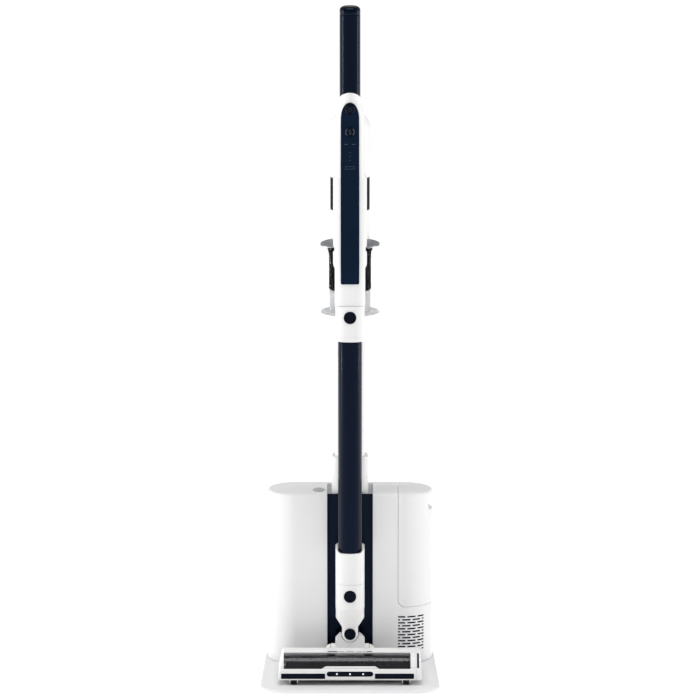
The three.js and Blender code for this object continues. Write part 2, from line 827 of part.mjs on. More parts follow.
piece("fan_motor", fanMotor(), METAL);
piece("motor_filter", motorFilter(), CLOTH);
piece("battery_pack", slab(roundedRectangle(-16, 16, -16, 5, 3), 745, 915, 1, 2), GREY);

// ---- dust cup: lid, clear wall, base with its emptying flap, and the cyclone inside

const PORT = { half: 14, front: 40, back: 66 };

function cupLid() {
  return turned(
    [
      [20, CUP.rim],
      [CUP.radius, CUP.rim],
      [CUP.radius, CUP.top],
      [31, CUP.top + 2],
      [31, CUP.lidTop],
      [20, CUP.lidTop],
    ],
    CUP_Y,
    48,
  );
}

function dustCup() {
  const outer = upright(CUP.radius, CUP_Y, CUP.floor + GAP, CUP.rim - GAP, 48);
  return cut(outer, upright(CUP.radius - CUP.wall, CUP_Y, CUP.bottom, CUP.top, 48));
}

function cupBase() {
  const disc = turned(
    [
      [0, CUP.bottom],
      [CUP.radius - 1, CUP.bottom],
      [CUP.radius, CUP.bottom + 1],
      [CUP.radius, CUP.floor],
      [0, CUP.floor],
    ],
    CUP_Y,
    48,
  );
  const opening = box(
    -PORT.half - GAP,
    PORT.half + GAP,
    PORT.front - GAP,
    PORT.back + GAP,
    CUP.bottom - CUT,
    CUP.floor + CUT,
  );
  return cut(disc, opening);
}

function cycloneCore() {
  return turned(
    [
      [20.5, 643.5],
      [27, 643.5],
      [33, 647],
      [34.9, 654],
      [34.9, 702],
      [38, CUP.rim - GAP],
      [20.5, CUP.rim - GAP],
    ],
    CUP_Y,
    36,
  );
}

function innerCyclone() {
  return turned(
    [
      [15, 609],
      [33, 609],
      [34, 643.2],
      [15, 643.2],
    ],
    CUP_Y,
    28,
  );
}

piece("cup_lid", cupLid(), GREY);
piece("dust_cup", dustCup(), CLEAR);
piece("cup_base", cupBase(), GREY);
piece(
  "emptying_flap",
  box(-PORT.half, PORT.half, PORT.front, PORT.back, CUP.bottom + GAP, CUP.bottom + 3),
  BLACK,
);
piece("cyclone_core", cycloneCore(), BLACK);
piece("inner_cyclone", innerCyclone(), GREY);

// ================================================================ THE FLOOR HEAD

// ---- yoke: swivels on the neck's pin and carries the hinge barrel

function yoke() {
  const tongueBottom = HINGE.z;
  const tongue = join(
    rodAlongY(12, 0, PIVOT_Z, FORK.slotFront + GAP, FORK.slotBack - GAP),
    box(-12, 12, FORK.slotFront + GAP, FORK.slotBack - GAP, tongueBottom, PIVOT_Z),
  );
  const shoulders = frontal(
    polygon([
      [-24.3, 45],
      [24.3, 45],
      [24.3, PIVOT_Z - 12],
      [16.6, PIVOT_Z - 4],
      [-16.6, PIVOT_Z - 4],
      [-24.3, PIVOT_Z - 12],
    ]),
    -20,
    6,
  );
  const swingRoom = FORK.half + 1.4;
  const frontPocket = rodAlongY(swingRoom, 0, PIVOT_Z, -30, FORK.slotFront + GAP, 32);
  const backPocket = rodAlongY(swingRoom, 0, PIVOT_Z, FORK.slotBack - GAP, 20, 32);
  const barrel = rodAlongX(HINGE.radius, HINGE.y, HINGE.z, -HINGE.half, HINGE.half, 28);
  const pinHole = rodAlongY(PIN.radius + GAP, 0, PIVOT_Z, -30, 20);
  const hingeHole = rodAlongX(HINGE.pin + GAP, HINGE.y, HINGE.z, -60, 60, 16);
  return cut(join(cut(shoulders, frontPocket, backPocket), tongue, barrel), pinHole, hingeHole);
}

piece("yoke", yoke(), WHITE);
const EAR = { near: HINGE.half + 2 * GAP, far: HINGE.half + 8, top: 48.5 };
const pinHalf = EAR.far - 1.5;

piece("hinge_pin", rodAlongX(HINGE.pin, HINGE.y, HINGE.z, -pinHalf, pinHalf, 16), METAL);

// ---- head housing

const CHAMBER = { radius: 22.5, left: -110, right: 103 };
const WINDOW = { left: -109, right: 99.6, inner: 23.1, outer: 25.6, from: 90, to: 167 };
const LIGHT = { half: 38, bottom: 23.4, top: 31.4 };
const BUMPER = { near: 41, farLeft: 113, farRight: 105, bottom: 19.4, top: 28 };
const HEAD_FRONT = -116;
const LEDGE_Z = 36; // the window's lower edge rests on it
const BOSS_RADIUS = 8; // carries the roller's free end

function headOutline() {
  const { bottom, top } = HEAD;
  const shell = top - ROLLER.z;
  const shape = new THREE.Shape();
  const start = Math.asin((LEDGE_Z - ROLLER.z) / shell);
  shape.moveTo(-16, bottom);
  shape.lineTo(HEAD_FRONT + 4, bottom);
  shape.quadraticCurveTo(HEAD_FRONT, bottom, HEAD_FRONT, bottom + 4);
  shape.lineTo(HEAD_FRONT, LIGHT.top + 1);
  shape.quadraticCurveTo(HEAD_FRONT, LEDGE_Z, ROLLER.y - shell * Math.cos(start), LEDGE_Z);
  shape.absarc(ROLLER.y, ROLLER.z, shell, Math.PI - start, Math.PI / 2, true);
  shape.lineTo(-66, top);
  shape.bezierCurveTo(-46, top, -24, 47, -16, HINGE.z);
  return shape;
}

// The part of a ring about the roller's axis between two angles.
function ringSector(inner, outer, from, to) {
  const [start, end] = [from, to].map(THREE.MathUtils.degToRad);
  const shape = new THREE.Shape();
  shape.absarc(ROLLER.y, ROLLER.z, outer, start, end);
  shape.absarc(ROLLER.y, ROLLER.z, inner, end, start, true);
  shape.closePath();
  return shape;
}

const WHEELS = {
  wheel_1: { x: -92.5, y: -109, radius: 4.8, width: 10 },
  wheel_2: { x: 92.5, y: -109, radius: 4.8, width: 10 },
  wheel_3: { x: -70, y: -30, radius: 8, width: 8 },
  wheel_4: { x: 70, y: -30, radius: 8, width: 8 },
};
const WHEEL_BOTTOM = BASE.top + GAP;

function wheelPocket({ x, y, radius, width }) {
  const room = 1;
  const z = WHEEL_BOTTOM + radius;
  return rodAlongX(radius + room, y, z, x - width / 2 - GAP, x + width / 2 + GAP, 20);
}

function lightOutline(grow) {
  const { half, bottom, top } = LIGHT;
  const round = (top - bottom) / 2 + grow - 0.3;
  return roundedRectangle(-half - grow, half + grow, bottom - grow, top + grow, round);
}

function bumperOutline(side, grow) {
  const u0 = side > 0 ? BUMPER.near - grow : -BUMPER.farLeft - grow;
  const u1 = side > 0 ? BUMPER.farRight + grow : grow - BUMPER.near;
  return roundedRectangle(u0, u1, BUMPER.bottom - grow, BUMPER.top + grow, 2);
}

function headShell() {
  const main = sidelong(headOutline(), HEAD.left, HEAD.right, 2, 6);
  const earOutline = roundedRectangle(-34, 3, HEAD.bottom, EAR.top, 8);
  const ears = [-1, 1].map((side) => {
    const ends = [side * EAR.near, side * EAR.far];
    return sidelong(earOutline, Math.min(...ends), Math.max(...ends), 0, 4);
  });
  const pan = box(-pinHalf, pinHalf, -34, 3, HEAD.bottom, 21.5);
  const chamber = rodAlongX(CHAMBER.radius, ROLLER.y, ROLLER.z, CHAMBER.left, CHAMBER.right, 40);
  const windowRoom = ringSector(CHAMBER.radius - 1, 36, WINDOW.from - 1, WINDOW.to + 1);
  const window = sidelong(windowRoom, WINDOW.left, WINDOW.right, 0, 8);
  const airway = box(-18, 18, ROLLER.y + 14, -17, 22, 40);
  const barrelRoom = rodAlongX(HINGE.radius + 0.6, HINGE.y, HINGE.z, -HINGE.half - GAP, HINGE.half + GAP, 28);
  const yokeRoom = box(-25, 25, -20.8, 8, 38, 62);
  const pinHole = rodAlongX(HINGE.pin + GAP, HINGE.y, HINGE.z, -pinHalf - GAP, pinHalf + GAP, 16);
  const lightRoom = frontal(lightOutline(GAP), HEAD_FRONT - CUT, HEAD_FRONT + 3);
  const bumperRooms = [-1, 1].map((side) =>
    frontal(bumperOutline(side, GAP), HEAD_FRONT - CUT, HEAD_FRONT + 1.8, 0, 1),
  );
  const bossHole = rodAlongX(BOSS_RADIUS + GAP, ROLLER.y, ROLLER.z, CHAMBER.right - CUT, HEAD.right + CUT, 24);
  return cut(
    join(main, ...ears, pan),
    chamber,
    window,
    airway,
    barrelRoom,
    yokeRoom,
    pinHole,
    lightRoom,
    ...bumperRooms,
    bossHole,
    ...Object.values(WHEELS).map(wheelPocket),
  );
}

// The end of the head that comes off to free the roller.
function headCap() {
  const end = sidelong(headOutline(), HEAD.capLeft, HEAD.capRight, 2, 6);
  return join(end, rodAlongX(BOSS_RADIUS, ROLLER.y, ROLLER.z, ROLLER.right - 8, HEAD.capLeft + 1, 24));
}

function headWindow() {
  const { inner, outer, from, to, left, right } = WINDOW;
  return sidelong(ringSector(inner, outer, from, to), left + GAP, right - GAP, 0, 8);
}

piece("head_shell", headShell(), WHITE);
piece("head_cap", headCap(), WHITE);
piece("head_window", headWindow(), CLEAR);

// ---- brush roller, turned by the motor inside its left end

function brushRoller() {
  const { y, z, radius, bore, left, right } = ROLLER;
  return cut(rodAlongX(radius, y, z, left, right, 36), rodAlongX(bore, y, z, left - CUT, right + CUT, 24));
}

piece("brush_roller", brushRoller(), BRISTLE);
piece(
  "brush_motor",
  rodAlongX(ROLLER.bore - 2 * GAP, ROLLER.y, ROLLER.z, CHAMBER.left + GAP, -30, 20),
  METAL,
);

// ---- lights and bumper strips on the head's front

const LAMPS = { spacing: 21.5, radius: 2.2, z: (LIGHT.bottom + LIGHT.top) / 2 };

// A dark bar with three small round lamps standing out of it.
function lightBar() {
  const bar = frontal(lightOutline(0), HEAD_FRONT - 0.6, HEAD_FRONT + 2.7, 0.4, 5);
  const lamps = [-1, 0, 1].map((i) =>
    rodAlongY(LAMPS.radius, i * LAMPS.spacing, LAMPS.z, HEAD_FRONT - 1, HEAD_FRONT, 16),
  );
  return join(bar, ...lamps);
}

piece("light_bar", lightBar(), BLACK);
[-1, 1].forEach((side) => {
  const strip = frontal(bumperOutline(side, 0), HEAD_FRONT - 0.5, HEAD_FRONT + 1.5, 0.4, 1);
  piece(side < 0 ? "bumper_left" : "bumper_right", strip, RUBBER);
});

// ---- wheels under the head

Object.entries(WHEELS).forEach(([name, { x, y, radius, width }]) => {
  piece(name, rodAlongX(radius, y, WHEEL_BOTTOM + radius, x - width / 2, x + width / 2, 20), RUBBER);
});

export default vacuum;
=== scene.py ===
import math

import bmesh
import bpy
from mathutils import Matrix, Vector, noise


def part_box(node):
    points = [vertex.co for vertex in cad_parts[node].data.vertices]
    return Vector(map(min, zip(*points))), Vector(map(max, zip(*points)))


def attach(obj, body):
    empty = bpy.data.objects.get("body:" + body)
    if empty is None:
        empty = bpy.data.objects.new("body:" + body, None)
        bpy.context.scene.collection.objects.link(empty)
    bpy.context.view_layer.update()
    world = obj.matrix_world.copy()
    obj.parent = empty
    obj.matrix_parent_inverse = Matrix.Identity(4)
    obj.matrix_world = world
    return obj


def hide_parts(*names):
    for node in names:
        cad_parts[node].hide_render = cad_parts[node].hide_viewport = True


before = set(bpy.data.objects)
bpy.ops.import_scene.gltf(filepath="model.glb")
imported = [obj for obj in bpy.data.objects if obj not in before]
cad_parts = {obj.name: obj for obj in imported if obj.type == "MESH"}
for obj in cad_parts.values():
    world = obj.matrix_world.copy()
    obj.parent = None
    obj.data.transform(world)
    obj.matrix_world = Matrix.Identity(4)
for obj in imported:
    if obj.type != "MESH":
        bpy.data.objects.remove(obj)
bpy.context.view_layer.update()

MM = 0.001
TAU = 2 * math.pi
GAP = 0.3  # clearance round a piece that is let into another
FAR = 60.0  # how far from the middle a cutter reaches, past all that it cuts
ROUND, FINE = 64, 128  # sides of a small and of a large round outline


# -------------------- places, in millimetres, from the frame


def low(node):
    return Vector(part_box(node)[0]) / MM


def high(node):
    return Vector(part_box(node)[1]) / MM


def middle(node):
    return (low(node) + high(node)) / 2


def half(node):
    return (high(node) - low(node)) / 2


def ends(node):
    return low(node), high(node)


def heights(node):
    return low(node).z, high(node).z


# -------------------- outlines: lists of (u, v)


def arc(u, v, radius, start, end, steps):
    angles = [math.radians(start + (end - start) * i / steps) for i in range(steps + 1)]
    return [(u + radius * math.cos(a), v + radius * math.sin(a)) for a in angles]


def circle(u, v, radius, steps=48):
    return arc(u, v, radius, 0, 360, steps)[:-1]


def rounded(u0, u1, v0, v1, radius, steps=8):
    return (
        arc(u1 - radius, v0 + radius, radius, -90, 0, steps)
        + arc(u1 - radius, v1 - radius, radius, 0, 90, steps)
        + arc(u0 + radius, v1 - radius, radius, 90, 180, steps)
        + arc(u0 + radius, v0 + radius, radius, 180, 270, steps)
    )


def squircle(u, v, across, deep, power=2.7, steps=96):
    points = []
    for i in range(steps):
        c, s = math.cos(TAU * i / steps), math.sin(TAU * i / steps)
        points.append((
            u + across * math.copysign(abs(c) ** (2 / power), c),
            v + deep * math.copysign(abs(s) ** (2 / power), s),
        ))
    return points


def around(node, power, steps=96):
    """A node's rounded outline from above, as a function of how far it is drawn in."""
    centre, reach = middle(node), half(node)
    return lambda inset: squircle(centre.x, centre.y, reach.x - inset, reach.y - inset, power, steps)


def tube_profile(inner, outer, z0, z1, edge):
    """The (radius, z) section of a tube whose outer edges are broken."""
    return [
        (inner, z0), (outer - edge, z0), (outer, z0 + edge),
        (outer, z1 - edge), (outer - edge, z1), (inner, z1),
    ]


# -------------------- meshes


def along(axis, u, v, w):
    """A point of an outline (u, v) at a depth w: z is up, y is to the back, x is to the right."""
    return {"z": (u, v, w), "y": (u, w, v), "x": (w, u, v)}[axis]


def new_object(name, bm):
    bmesh.ops.remove_doubles(bm, verts=bm.verts, dist=0.0005)
    bmesh.ops.recalc_face_normals(bm, faces=bm.faces)
    bmesh.ops.scale(bm, vec=(MM, MM, MM), verts=bm.verts)
    mesh = bpy.data.meshes.new(name)
    bm.to_mesh(mesh)
    bm.free()
    obj = bpy.data.objects.new(name, mesh)
    bpy.context.collection.objects.link(obj)
    return obj


def stack(rings, caps=True):
    """A surface through rings of points, each with the same count, closed at both ends."""
    bm = bmesh.new()
    rows = [[bm.verts.new(p) for p in ring] for ring in rings]
    for below, above in zip(rows, rows[1:]):
        for i in range(len(below)):
            j = (i + 1) % len(below)
            bm.faces.new((below[i], below[j], above[j], above[i]))
    if caps:
        bm.faces.new(list(reversed(rows[0])))
        bm.faces.new(rows[-1])
    return bm


def prism(name, outline, w0, w1, axis="z"):
    return new_object(name, stack([[along(axis, u, v, w) for u, v in outline] for w in (w0, w1)]))


def soft_prism(name, outline_in, w0, w1, round0, round1, axis="z", steps=6):
    """A prism with its two edges rounded: outline_in(inset) is its outline drawn in by inset."""
    levels = []
    for i in range(steps + 1):
        a = math.pi / 2 * i / steps
        levels.append((w0 + round0 * (1 - math.sin(a)), round0 * (1 - math.cos(a))))
    levels.reverse()
    for i in range(steps + 1):
        a = math.pi / 2 * i / steps
        levels.append((w1 - round1 * (1 - math.sin(a)), round1 * (1 - math.cos(a))))
    rings = [[along(axis, u, v, w) for u, v in outline_in(inset)] for w, inset in levels]
    return new_object(name, stack(rings))


def turned(name, profile, centre, axis="z", steps=96):
    """A closed solid of revolution: profile is a list of (radius, w), and centre is where the axis is."""
    rings = []
    for radius, w in profile:
        ring = circle(0, 0, max(radius, 0.001), steps)
        rings.append([Vector(along(axis, u, v, w)) + Vector(centre) for u, v in ring])
    return new_object(name, stack(rings))


def ring_turned(name, profile, centre, axis="z", steps=96):
    """As turned, for a profile that closes on itself and never meets the axis."""
    rings = []
    for radius, w in [*profile, profile[0]]:
        rings.append([Vector(along(axis, u, v, w)) + Vector(centre) for u, v in circle(0, 0, radius, steps)])
    return new_object(name, stack(rings, caps=False))


def block(name, x0, x1, y0, y1, z0, z1):
    return prism(name, [(x0, y0), (x1, y0), (x1, y1), (x0, y1)], z0, z1)


def room(name, node, x=None, y=None, z=None):
    """A cutter for a node's box and the gap round it, or for the given span of x, y or z."""
    spans = [given or (a - GAP, b + GAP) for given, a, b in zip((x, y, z), low(node), high(node))]
    return block(name, *spans[0], *spans[1], *spans[2])


def key_room(node, clearance, back):
    """The round hole that a front key moves in."""
    return prism("key_room", circle(0, middle(node).z, half(node).x + clearance, ROUND), -FAR, back, "y")


def joined(name, objects):
    """Several objects that don't touch, as one object."""
    bm = bmesh.new()
    for obj in objects:
        bm.from_mesh(obj.data)
        bpy.data.objects.remove(obj)
    mesh = bpy.data.meshes.new(name)
    bm.to_mesh(mesh)
    bm.free()
    whole = bpy.data.objects.new(name, mesh)
    bpy.context.collection.objects.link(whole)
    return whole


def bake(obj):
    """Applies every modifier."""
    shown = obj.evaluated_get(bpy.context.evaluated_depsgraph_get())
    mesh = bpy.data.meshes.new_from_object(shown)
    obj.modifiers.clear()
    obj.data = mesh
    return obj


def combine(obj, tool, how):
    step = obj.modifiers.new("step", "BOOLEAN")
    step.operation = how
    step.solver = "EXACT"
    step.object = tool
    bake(obj)
    return obj


def carve(obj, *tools):
    for tool in tools:
        combine(obj, tool, "DIFFERENCE")
        bpy.data.objects.remove(tool)
    return obj


def add(obj, *tools):
    for tool in tools:
        combine(obj, tool, "UNION")
        bpy.data.objects.remove(tool)
    return obj


def keep(obj, tool):
    combine(obj, tool, "INTERSECT")
    bpy.data.objects.remove(tool)
    return obj


def copy_of(obj, name):
    twin = obj.copy()
    twin.data = obj.data.copy()
    twin.name = name
    bpy.context.collection.objects.link(twin)
    return twin


def tilted_block(name, point, normal, size=400.0):
    """Everything on the far side of a plane, as a cutter."""
    bm = bmesh.new()
    bmesh.ops.create_cube(bm, size=size)
    bmesh.ops.translate(bm, vec=(0, 0, size / 2), verts=bm.verts)
    turn = Vector((0, 0, 1)).rotation_difference(Vector(normal)).to_matrix()
    bmesh.ops.rotate(bm, matrix=turn, verts=bm.verts)
    bmesh.ops.translate(bm, vec=point, verts=bm.verts)
    return new_object(name, bm)


def place(obj, body, material, nodes=(), edge=0.0, sharp=32):
    """Gives a piece its body, slot, material and softened edges, and hides the CAD it stands for."""
    obj.data.materials.clear()
    obj.data.materials.append(material)
    obj.data.shade_smooth()
    obj.data.set_sharp_from_angle(angle=math.radians(sharp))
    if edge:
        bevel = obj.modifiers.new("edges", "BEVEL")
        bevel.width = edge * MM
        bevel.segments = 3
        bevel.limit_method = "ANGLE"
        bevel.angle_limit = math.radians(sharp)
        bevel.use_clamp_overlap = True
        bevel.harden_normals = True
    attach(obj, body)
    if nodes:
        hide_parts(*nodes)
    return obj


def finish_cad(node, material):
    """Gives a CAD piece that is shown as it is its material."""
    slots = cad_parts[node].data.materials
    slots.clear()
    slots.append(material)


# -------------------- materials


def shader(name):
    material = bpy.data.materials.new(name)
    material.use_nodes = True
    nodes = material.node_tree.nodes
    return material, nodes, material.node_tree.links, nodes["Principled BSDF"]


def noise_node(nodes, links, scale, detail=3.0, stretch=(1, 1, 1)):
    where = nodes.new("ShaderNodeTexCoord")
    mapping = nodes.new("ShaderNodeMapping")
    mapping.inputs["Scale"].default_value = stretch
    texture = nodes.new("ShaderNodeTexNoise")
    texture.inputs["Scale"].default_value = scale
    texture.inputs["Detail"].default_value = detail
    links.new(where.outputs["Object"], mapping.inputs["Vector"])
    links.new(mapping.outputs["Vector"], texture.inputs["Vector"])
    return texture


def spread(nodes, links, source, low_value, high_value):
    """A texture's 0.3 to 0.7 as a range of values."""
    node = nodes.new("ShaderNodeMapRange")
    node.inputs["From Min"].default_value = 0.3
    node.inputs["From Max"].default_value = 0.7
    node.inputs["To Min"].default_value = low_value
    node.inputs["To Max"].default_value = high_value
    links.new(source, node.inputs["Value"])
    return node.outputs["Result"]


def tint(nodes, links, source, dark, light):
    ramp = nodes.new("ShaderNodeValToRGB")
    ramp.color_ramp.elements[0].position = 0.3
    ramp.color_ramp.elements[0].color = (*dark, 1)
    ramp.color_ramp.elements[1].position = 0.7
    ramp.color_ramp.elements[1].color = (*light, 1)
    links.new(source, ramp.inputs["Fac"])
    return ramp.outputs["Color"]


def bump(nodes, links, height, distance, strength=1.0, under=None):
    node = nodes.new("ShaderNodeBump")
    node.inputs["Strength"].default_value = strength
    node.inputs["Distance"].default_value = distance
    links.new(height, node.inputs["Height"])
    if under:
        links.new(under, node.inputs["Normal"])
    return node.outputs["Normal"]


def moulded(
    name, color, rough, varied=0.03, grain=2200.0, depth=0.00002, gloss=0.5,
    stretch=(1, 1, 1), metal=0.0, sheen=(1.0, 1.0, 1.0),
):
    """Moulded plastic, rubber or lacquer: slow colour and gloss variation over a fine grain."""
    material, nodes, links, surface = shader(name)
    slow = noise_node(nodes, links, 9.0)
    cloudy = noise_node(nodes, links, 60.0, 4.0, stretch)
    fine = noise_node(nodes, links, grain, 2.0, stretch)
    dark = tuple(max(0.0, c * (1 - varied)) for c in color)
    light = tuple(min(1.0, c * (1 + varied)) for c in color)
    links.new(tint(nodes, links, slow.outputs["Fac"], dark, light), surface.inputs["Base Color"])
    spread_out = spread(nodes, links, cloudy.outputs["Fac"], rough * 0.9, min(1.0, rough * 1.12))
    links.new(spread_out, surface.inputs["Roughness"])
    links.new(bump(nodes, links, fine.outputs["Fac"], depth), surface.inputs["Normal"])
    surface.inputs["Metallic"].default_value = metal
    surface.inputs["Specular IOR Level"].default_value = gloss
    surface.inputs["Specular Tint"].default_value = (*sheen, 1.0)
    return material


def lifted(material, strength):
    """The same material with a weak white light of its own, to stay pale where little light arrives."""
    surface = material.node_tree.nodes["Principled BSDF"]
    surface.inputs["Emission Color"].default_value = (1.0, 1.0, 1.0, 1.0)
    surface.inputs["Emission Strength"].default_value = strength
    return material


def clear(name, color, rough, ior=1.45, varied=0.04):
    """See-through plastic with faint flow marks and handling haze."""
    material, nodes, links, surface = shader(name)
    haze = noise_node(nodes, links, 40.0, 4.0)
    flow = noise_node(nodes, links, 25.0, 2.0, (1, 1, 0.15))
    dark = tuple(c * (1 - varied) for c in color)
    links.new(tint(nodes, links, flow.outputs["Fac"], dark, color), surface.inputs["Base Color"])
    links.new(spread(nodes, links, haze.outputs["Fac"], rough, rough * 2), surface.inputs["Roughness"])
    links.new(bump(nodes, links, flow.outputs["Fac"], 0.00003), surface.inputs["Normal"])
    surface.inputs["Transmission Weight"].default_value = 1.0
    surface.inputs["Specular IOR Level"].default_value = 0.3
    surface.inputs["IOR"].default_value = ior
    return material


def woven(name, dark, light, pitch, depth, rough=0.9):
    """Cloth, filter or pile: crossed bands under a cloudy tint."""
    material, nodes, links, surface = shader(name)
    cloudy = noise_node(nodes, links, 35.0, 4.0)
    links.new(tint(nodes, links, cloudy.outputs["Fac"], dark, light), surface.inputs["Base Color"])
    where = nodes.new("ShaderNodeTexCoord")
    under = None
    for direction in ("X", "Z"):
        wave = nodes.new("ShaderNodeTexWave")
        wave.bands_direction = direction
        wave.inputs["Scale"].default_value = 1 / (pitch * MM) / 20
        wave.inputs["Distortion"].default_value = 1.5
        links.new(where.outputs["Object"], wave.inputs["Vector"])
        under = bump(nodes, links, wave.outputs["Fac"], depth, 0.8, under)
    links.new(under, surface.inputs["Normal"])
    dull = spread(nodes, links, cloudy.outputs["Fac"], rough * 0.92, min(rough * 1.05, 1))
    links.new(dull, surface.inputs["Roughness"])
    surface.inputs["Sheen Weight"].default_value = 0.15
    return material


def perforated(name, color, hole, pitch):
    """Dark sheet with rows of fine round holes."""
    material, nodes, links, surface = shader(name)
    where = nodes.new("ShaderNodeTexCoord")
    cells = nodes.new("ShaderNodeTexVoronoi")
    cells.inputs["Scale"].default_value = 1 / (pitch * MM)
    cells.inputs["Randomness"].default_value = 0.0
    links.new(where.outputs["Object"], cells.inputs["Vector"])
    links.new(tint(nodes, links, cells.outputs["Distance"], hole, color), surface.inputs["Base Color"])
    links.new(bump(nodes, links, cells.outputs["Distance"], 0.0003), surface.inputs["Normal"])
    links.new(spread(nodes, links, cells.outputs["Distance"], 0.7, 0.5), surface.inputs["Roughness"])
    surface.inputs["Specular IOR Level"].default_value = 0.02
    return material


def glowing(name, color, strength):
    """A small lamp behind a frosted lens."""
    material, nodes, links, surface = shader(name)
    speckle = noise_node(nodes, links, 1500.0)
    shade = tint(nodes, links, speckle.outputs["Fac"], tuple(c * 0.9 for c in color), color)
    links.new(shade, surface.inputs["Base Color"])
    links.new(shade, surface.inputs["Emission Color"])
    surface.inputs["Emission Strength"].default_value = strength
    surface.inputs["Roughness"].default_value = 0.3
    return material


WHITE = moulded("white_satin", (0.83, 0.83, 0.825), 0.34, 0.012, 2600, 0.000012, 0.4)
SHELL = moulded("white_grain", (0.80, 0.80, 0.805), 0.5, 0.012, 1500, 0.00003, 0.3)
PALE = moulded("pale_grain", (0.80, 0.80, 0.81), 0.48, 0.015, 1500, 0.00003, 0.3)
BLUISH = (0.4, 0.58, 1.0)
NAVY = moulded("navy_gloss", (0.0008, 0.0016, 0.007), 0.14, 0.2, 900, 0.000006, 0.14, sheen=BLUISH)
PANEL = moulded("panel_navy", (0.0045, 0.0115, 0.028), 0.3, 0.12, 1800, 0.00001, 0.06, sheen=BLUISH)
LACQUER = moulded(
    "black_lacquer", (0.0003, 0.0008, 0.005), 0.12, 0.2, 700, 0.000006, 0.18, (1, 1, 0.04), sheen=BLUISH,
)
BLACK = moulded("black_satin", (0.003, 0.0035, 0.0065), 0.4, 0.12, 2400, 0.00003, 0.1, sheen=BLUISH)
CORE = moulded("core_black", (0.0015, 0.002, 0.005), 0.5, 0.12, 2400, 0.00003, 0.02, sheen=BLUISH)
RUBBER = moulded("rubber", (0.008, 0.008, 0.009), 0.78, 0.15, 1200, 0.00005, 0.2)
GREY = moulded("grey_satin", (0.42, 0.43, 0.45), 0.42, 0.05, 1800, 0.00002)
LIGHT_GREY = moulded("light_grey", (0.66, 0.67, 0.69), 0.4, 0.03, 1800, 0.00002)
LID_GREY = moulded("lid_metallic", (0.30, 0.31, 0.34), 0.34, 0.06, 1500, 0.00001, 0.4, metal=0.5)
MARK = moulded("printed_grey", (0.035, 0.055, 0.085), 0.5, 0.08, 3000, 0.00001, 0.2)
SYMBOL = moulded("printed_pale", (0.16, 0.18, 0.21), 0.5, 0.08, 3000, 0.00001, 0.2)
STEEL = moulded("steel", (0.55, 0.55, 0.57), 0.28, 0.06, 900, 0.00001, 0.5, (0.1, 1, 1), metal=1.0)
CARD = moulded("card", (0.42, 0.31, 0.19), 0.85, 0.12, 500, 0.00006)
CLEAR = clear("clear_plastic", (0.985, 0.988, 0.99), 0.01, 1.12)
# painted light: the cup's floor glows weakly so that it stays pale in the shade of the clear wall
CUP_FLOOR = lifted(moulded("cup_floor_white", (0.80, 0.80, 0.80), 0.4, 0.012, 2600, 0.000012, 0.4), 0.2)
SMOKE = clear("smoked_plastic", (0.42, 0.42, 0.46), 0.03, 1.4)
MESH = perforated("filter_mesh", (0.006, 0.0065, 0.009), (0.001, 0.001, 0.001), 1.6)
CLOTH = woven("bag_cloth", (0.72, 0.71, 0.67), (0.84, 0.83, 0.79), 1.4, 0.00012)
PAPER = woven("filter_paper", (0.70, 0.70, 0.66), (0.82, 0.82, 0.78), 2.4, 0.0002)
FOAM = moulded("dark_foam", (0.004, 0.004, 0.005), 0.95, 0.3, 900, 0.0002, 0.1)
PILE = woven("roller_pile", (0.010, 0.009, 0.014), (0.045, 0.042, 0.055), 0.9, 0.0003, 0.75)
LAMP = glowing("lamp", (1.0, 1.0, 1.0), 0.7)


# -------------------- camera and light


CAMERA_PLACE, CAMERA_LENS, LOOKING_DOWN = (0.0, -7.934, 2.198), 253.6, 11.756


def make_camera():
    """A long lens in front of the vacuum, looking down on it by about twelve degrees."""
    data = bpy.data.cameras.new("camera")
    data.sensor_width = 36.0
    data.lens = CAMERA_LENS
    data.clip_end = 60.0
    camera = bpy.data.objects.new("camera", data)
    camera.location = CAMERA_PLACE
    camera.rotation_euler = (math.radians(90 - LOOKING_DOWN), 0.0, 0.0)
    bpy.context.collection.objects.link(camera)
    bpy.context.scene.camera = camera


def area_light(name, place_at, aim, size, power):
    data = bpy.data.lights.new(name, "AREA")
    data.shape = "RECTANGLE"
    data.size, data.size_y = size
    data.energy = power
    lamp = bpy.data.objects.new(name, data)
    lamp.location = place_at
    lamp.rotation_euler = (Vector(aim) - Vector(place_at)).to_track_quat("-Z", "Y").to_euler()
    bpy.context.collection.objects.link(lamp)


def make_studio():
    """Even white surroundings, a tall soft light at each side for upright highlights, and a bright floor."""
    world = bpy.data.worlds.new("studio")
    world.use_nodes = True
    world.node_tree.nodes["Background"].inputs["Color"].default_value = (1.0, 1.0, 1.0, 1.0)
    world.node_tree.nodes["Background"].inputs["Strength"].default_value = 0.46
    bpy.context.scene.world = world
    area_light("left_softbox", (-2.4, -0.15, 1.0), (0, 0, 0.7), (0.09, 2.6), 29)
    area_light("right_softbox", (2.4, 0.25, 1.0), (0, 0, 0.7), (0.12, 2.6), 19)
    area_light("top", (0.0, -0.6, 3.4), (0, 0, 0.0), (2.4, 1.6), 45)
    bm = bmesh.new()
    bmesh.ops.create_grid(bm, x_segments=1, y_segments=1, size=30000)
    floor = new_object("floor", bm)
    white_floor = moulded("floor_white", (0.93, 0.93, 0.93), 0.8, 0.004, 300, 0.00001, 0.1)
    floor.data.materials.append(lifted(white_floor, 0.6))
    bpy.context.scene.view_settings.view_transform = "Standard"


make_camera()
make_studio()


# -------------------- the dock

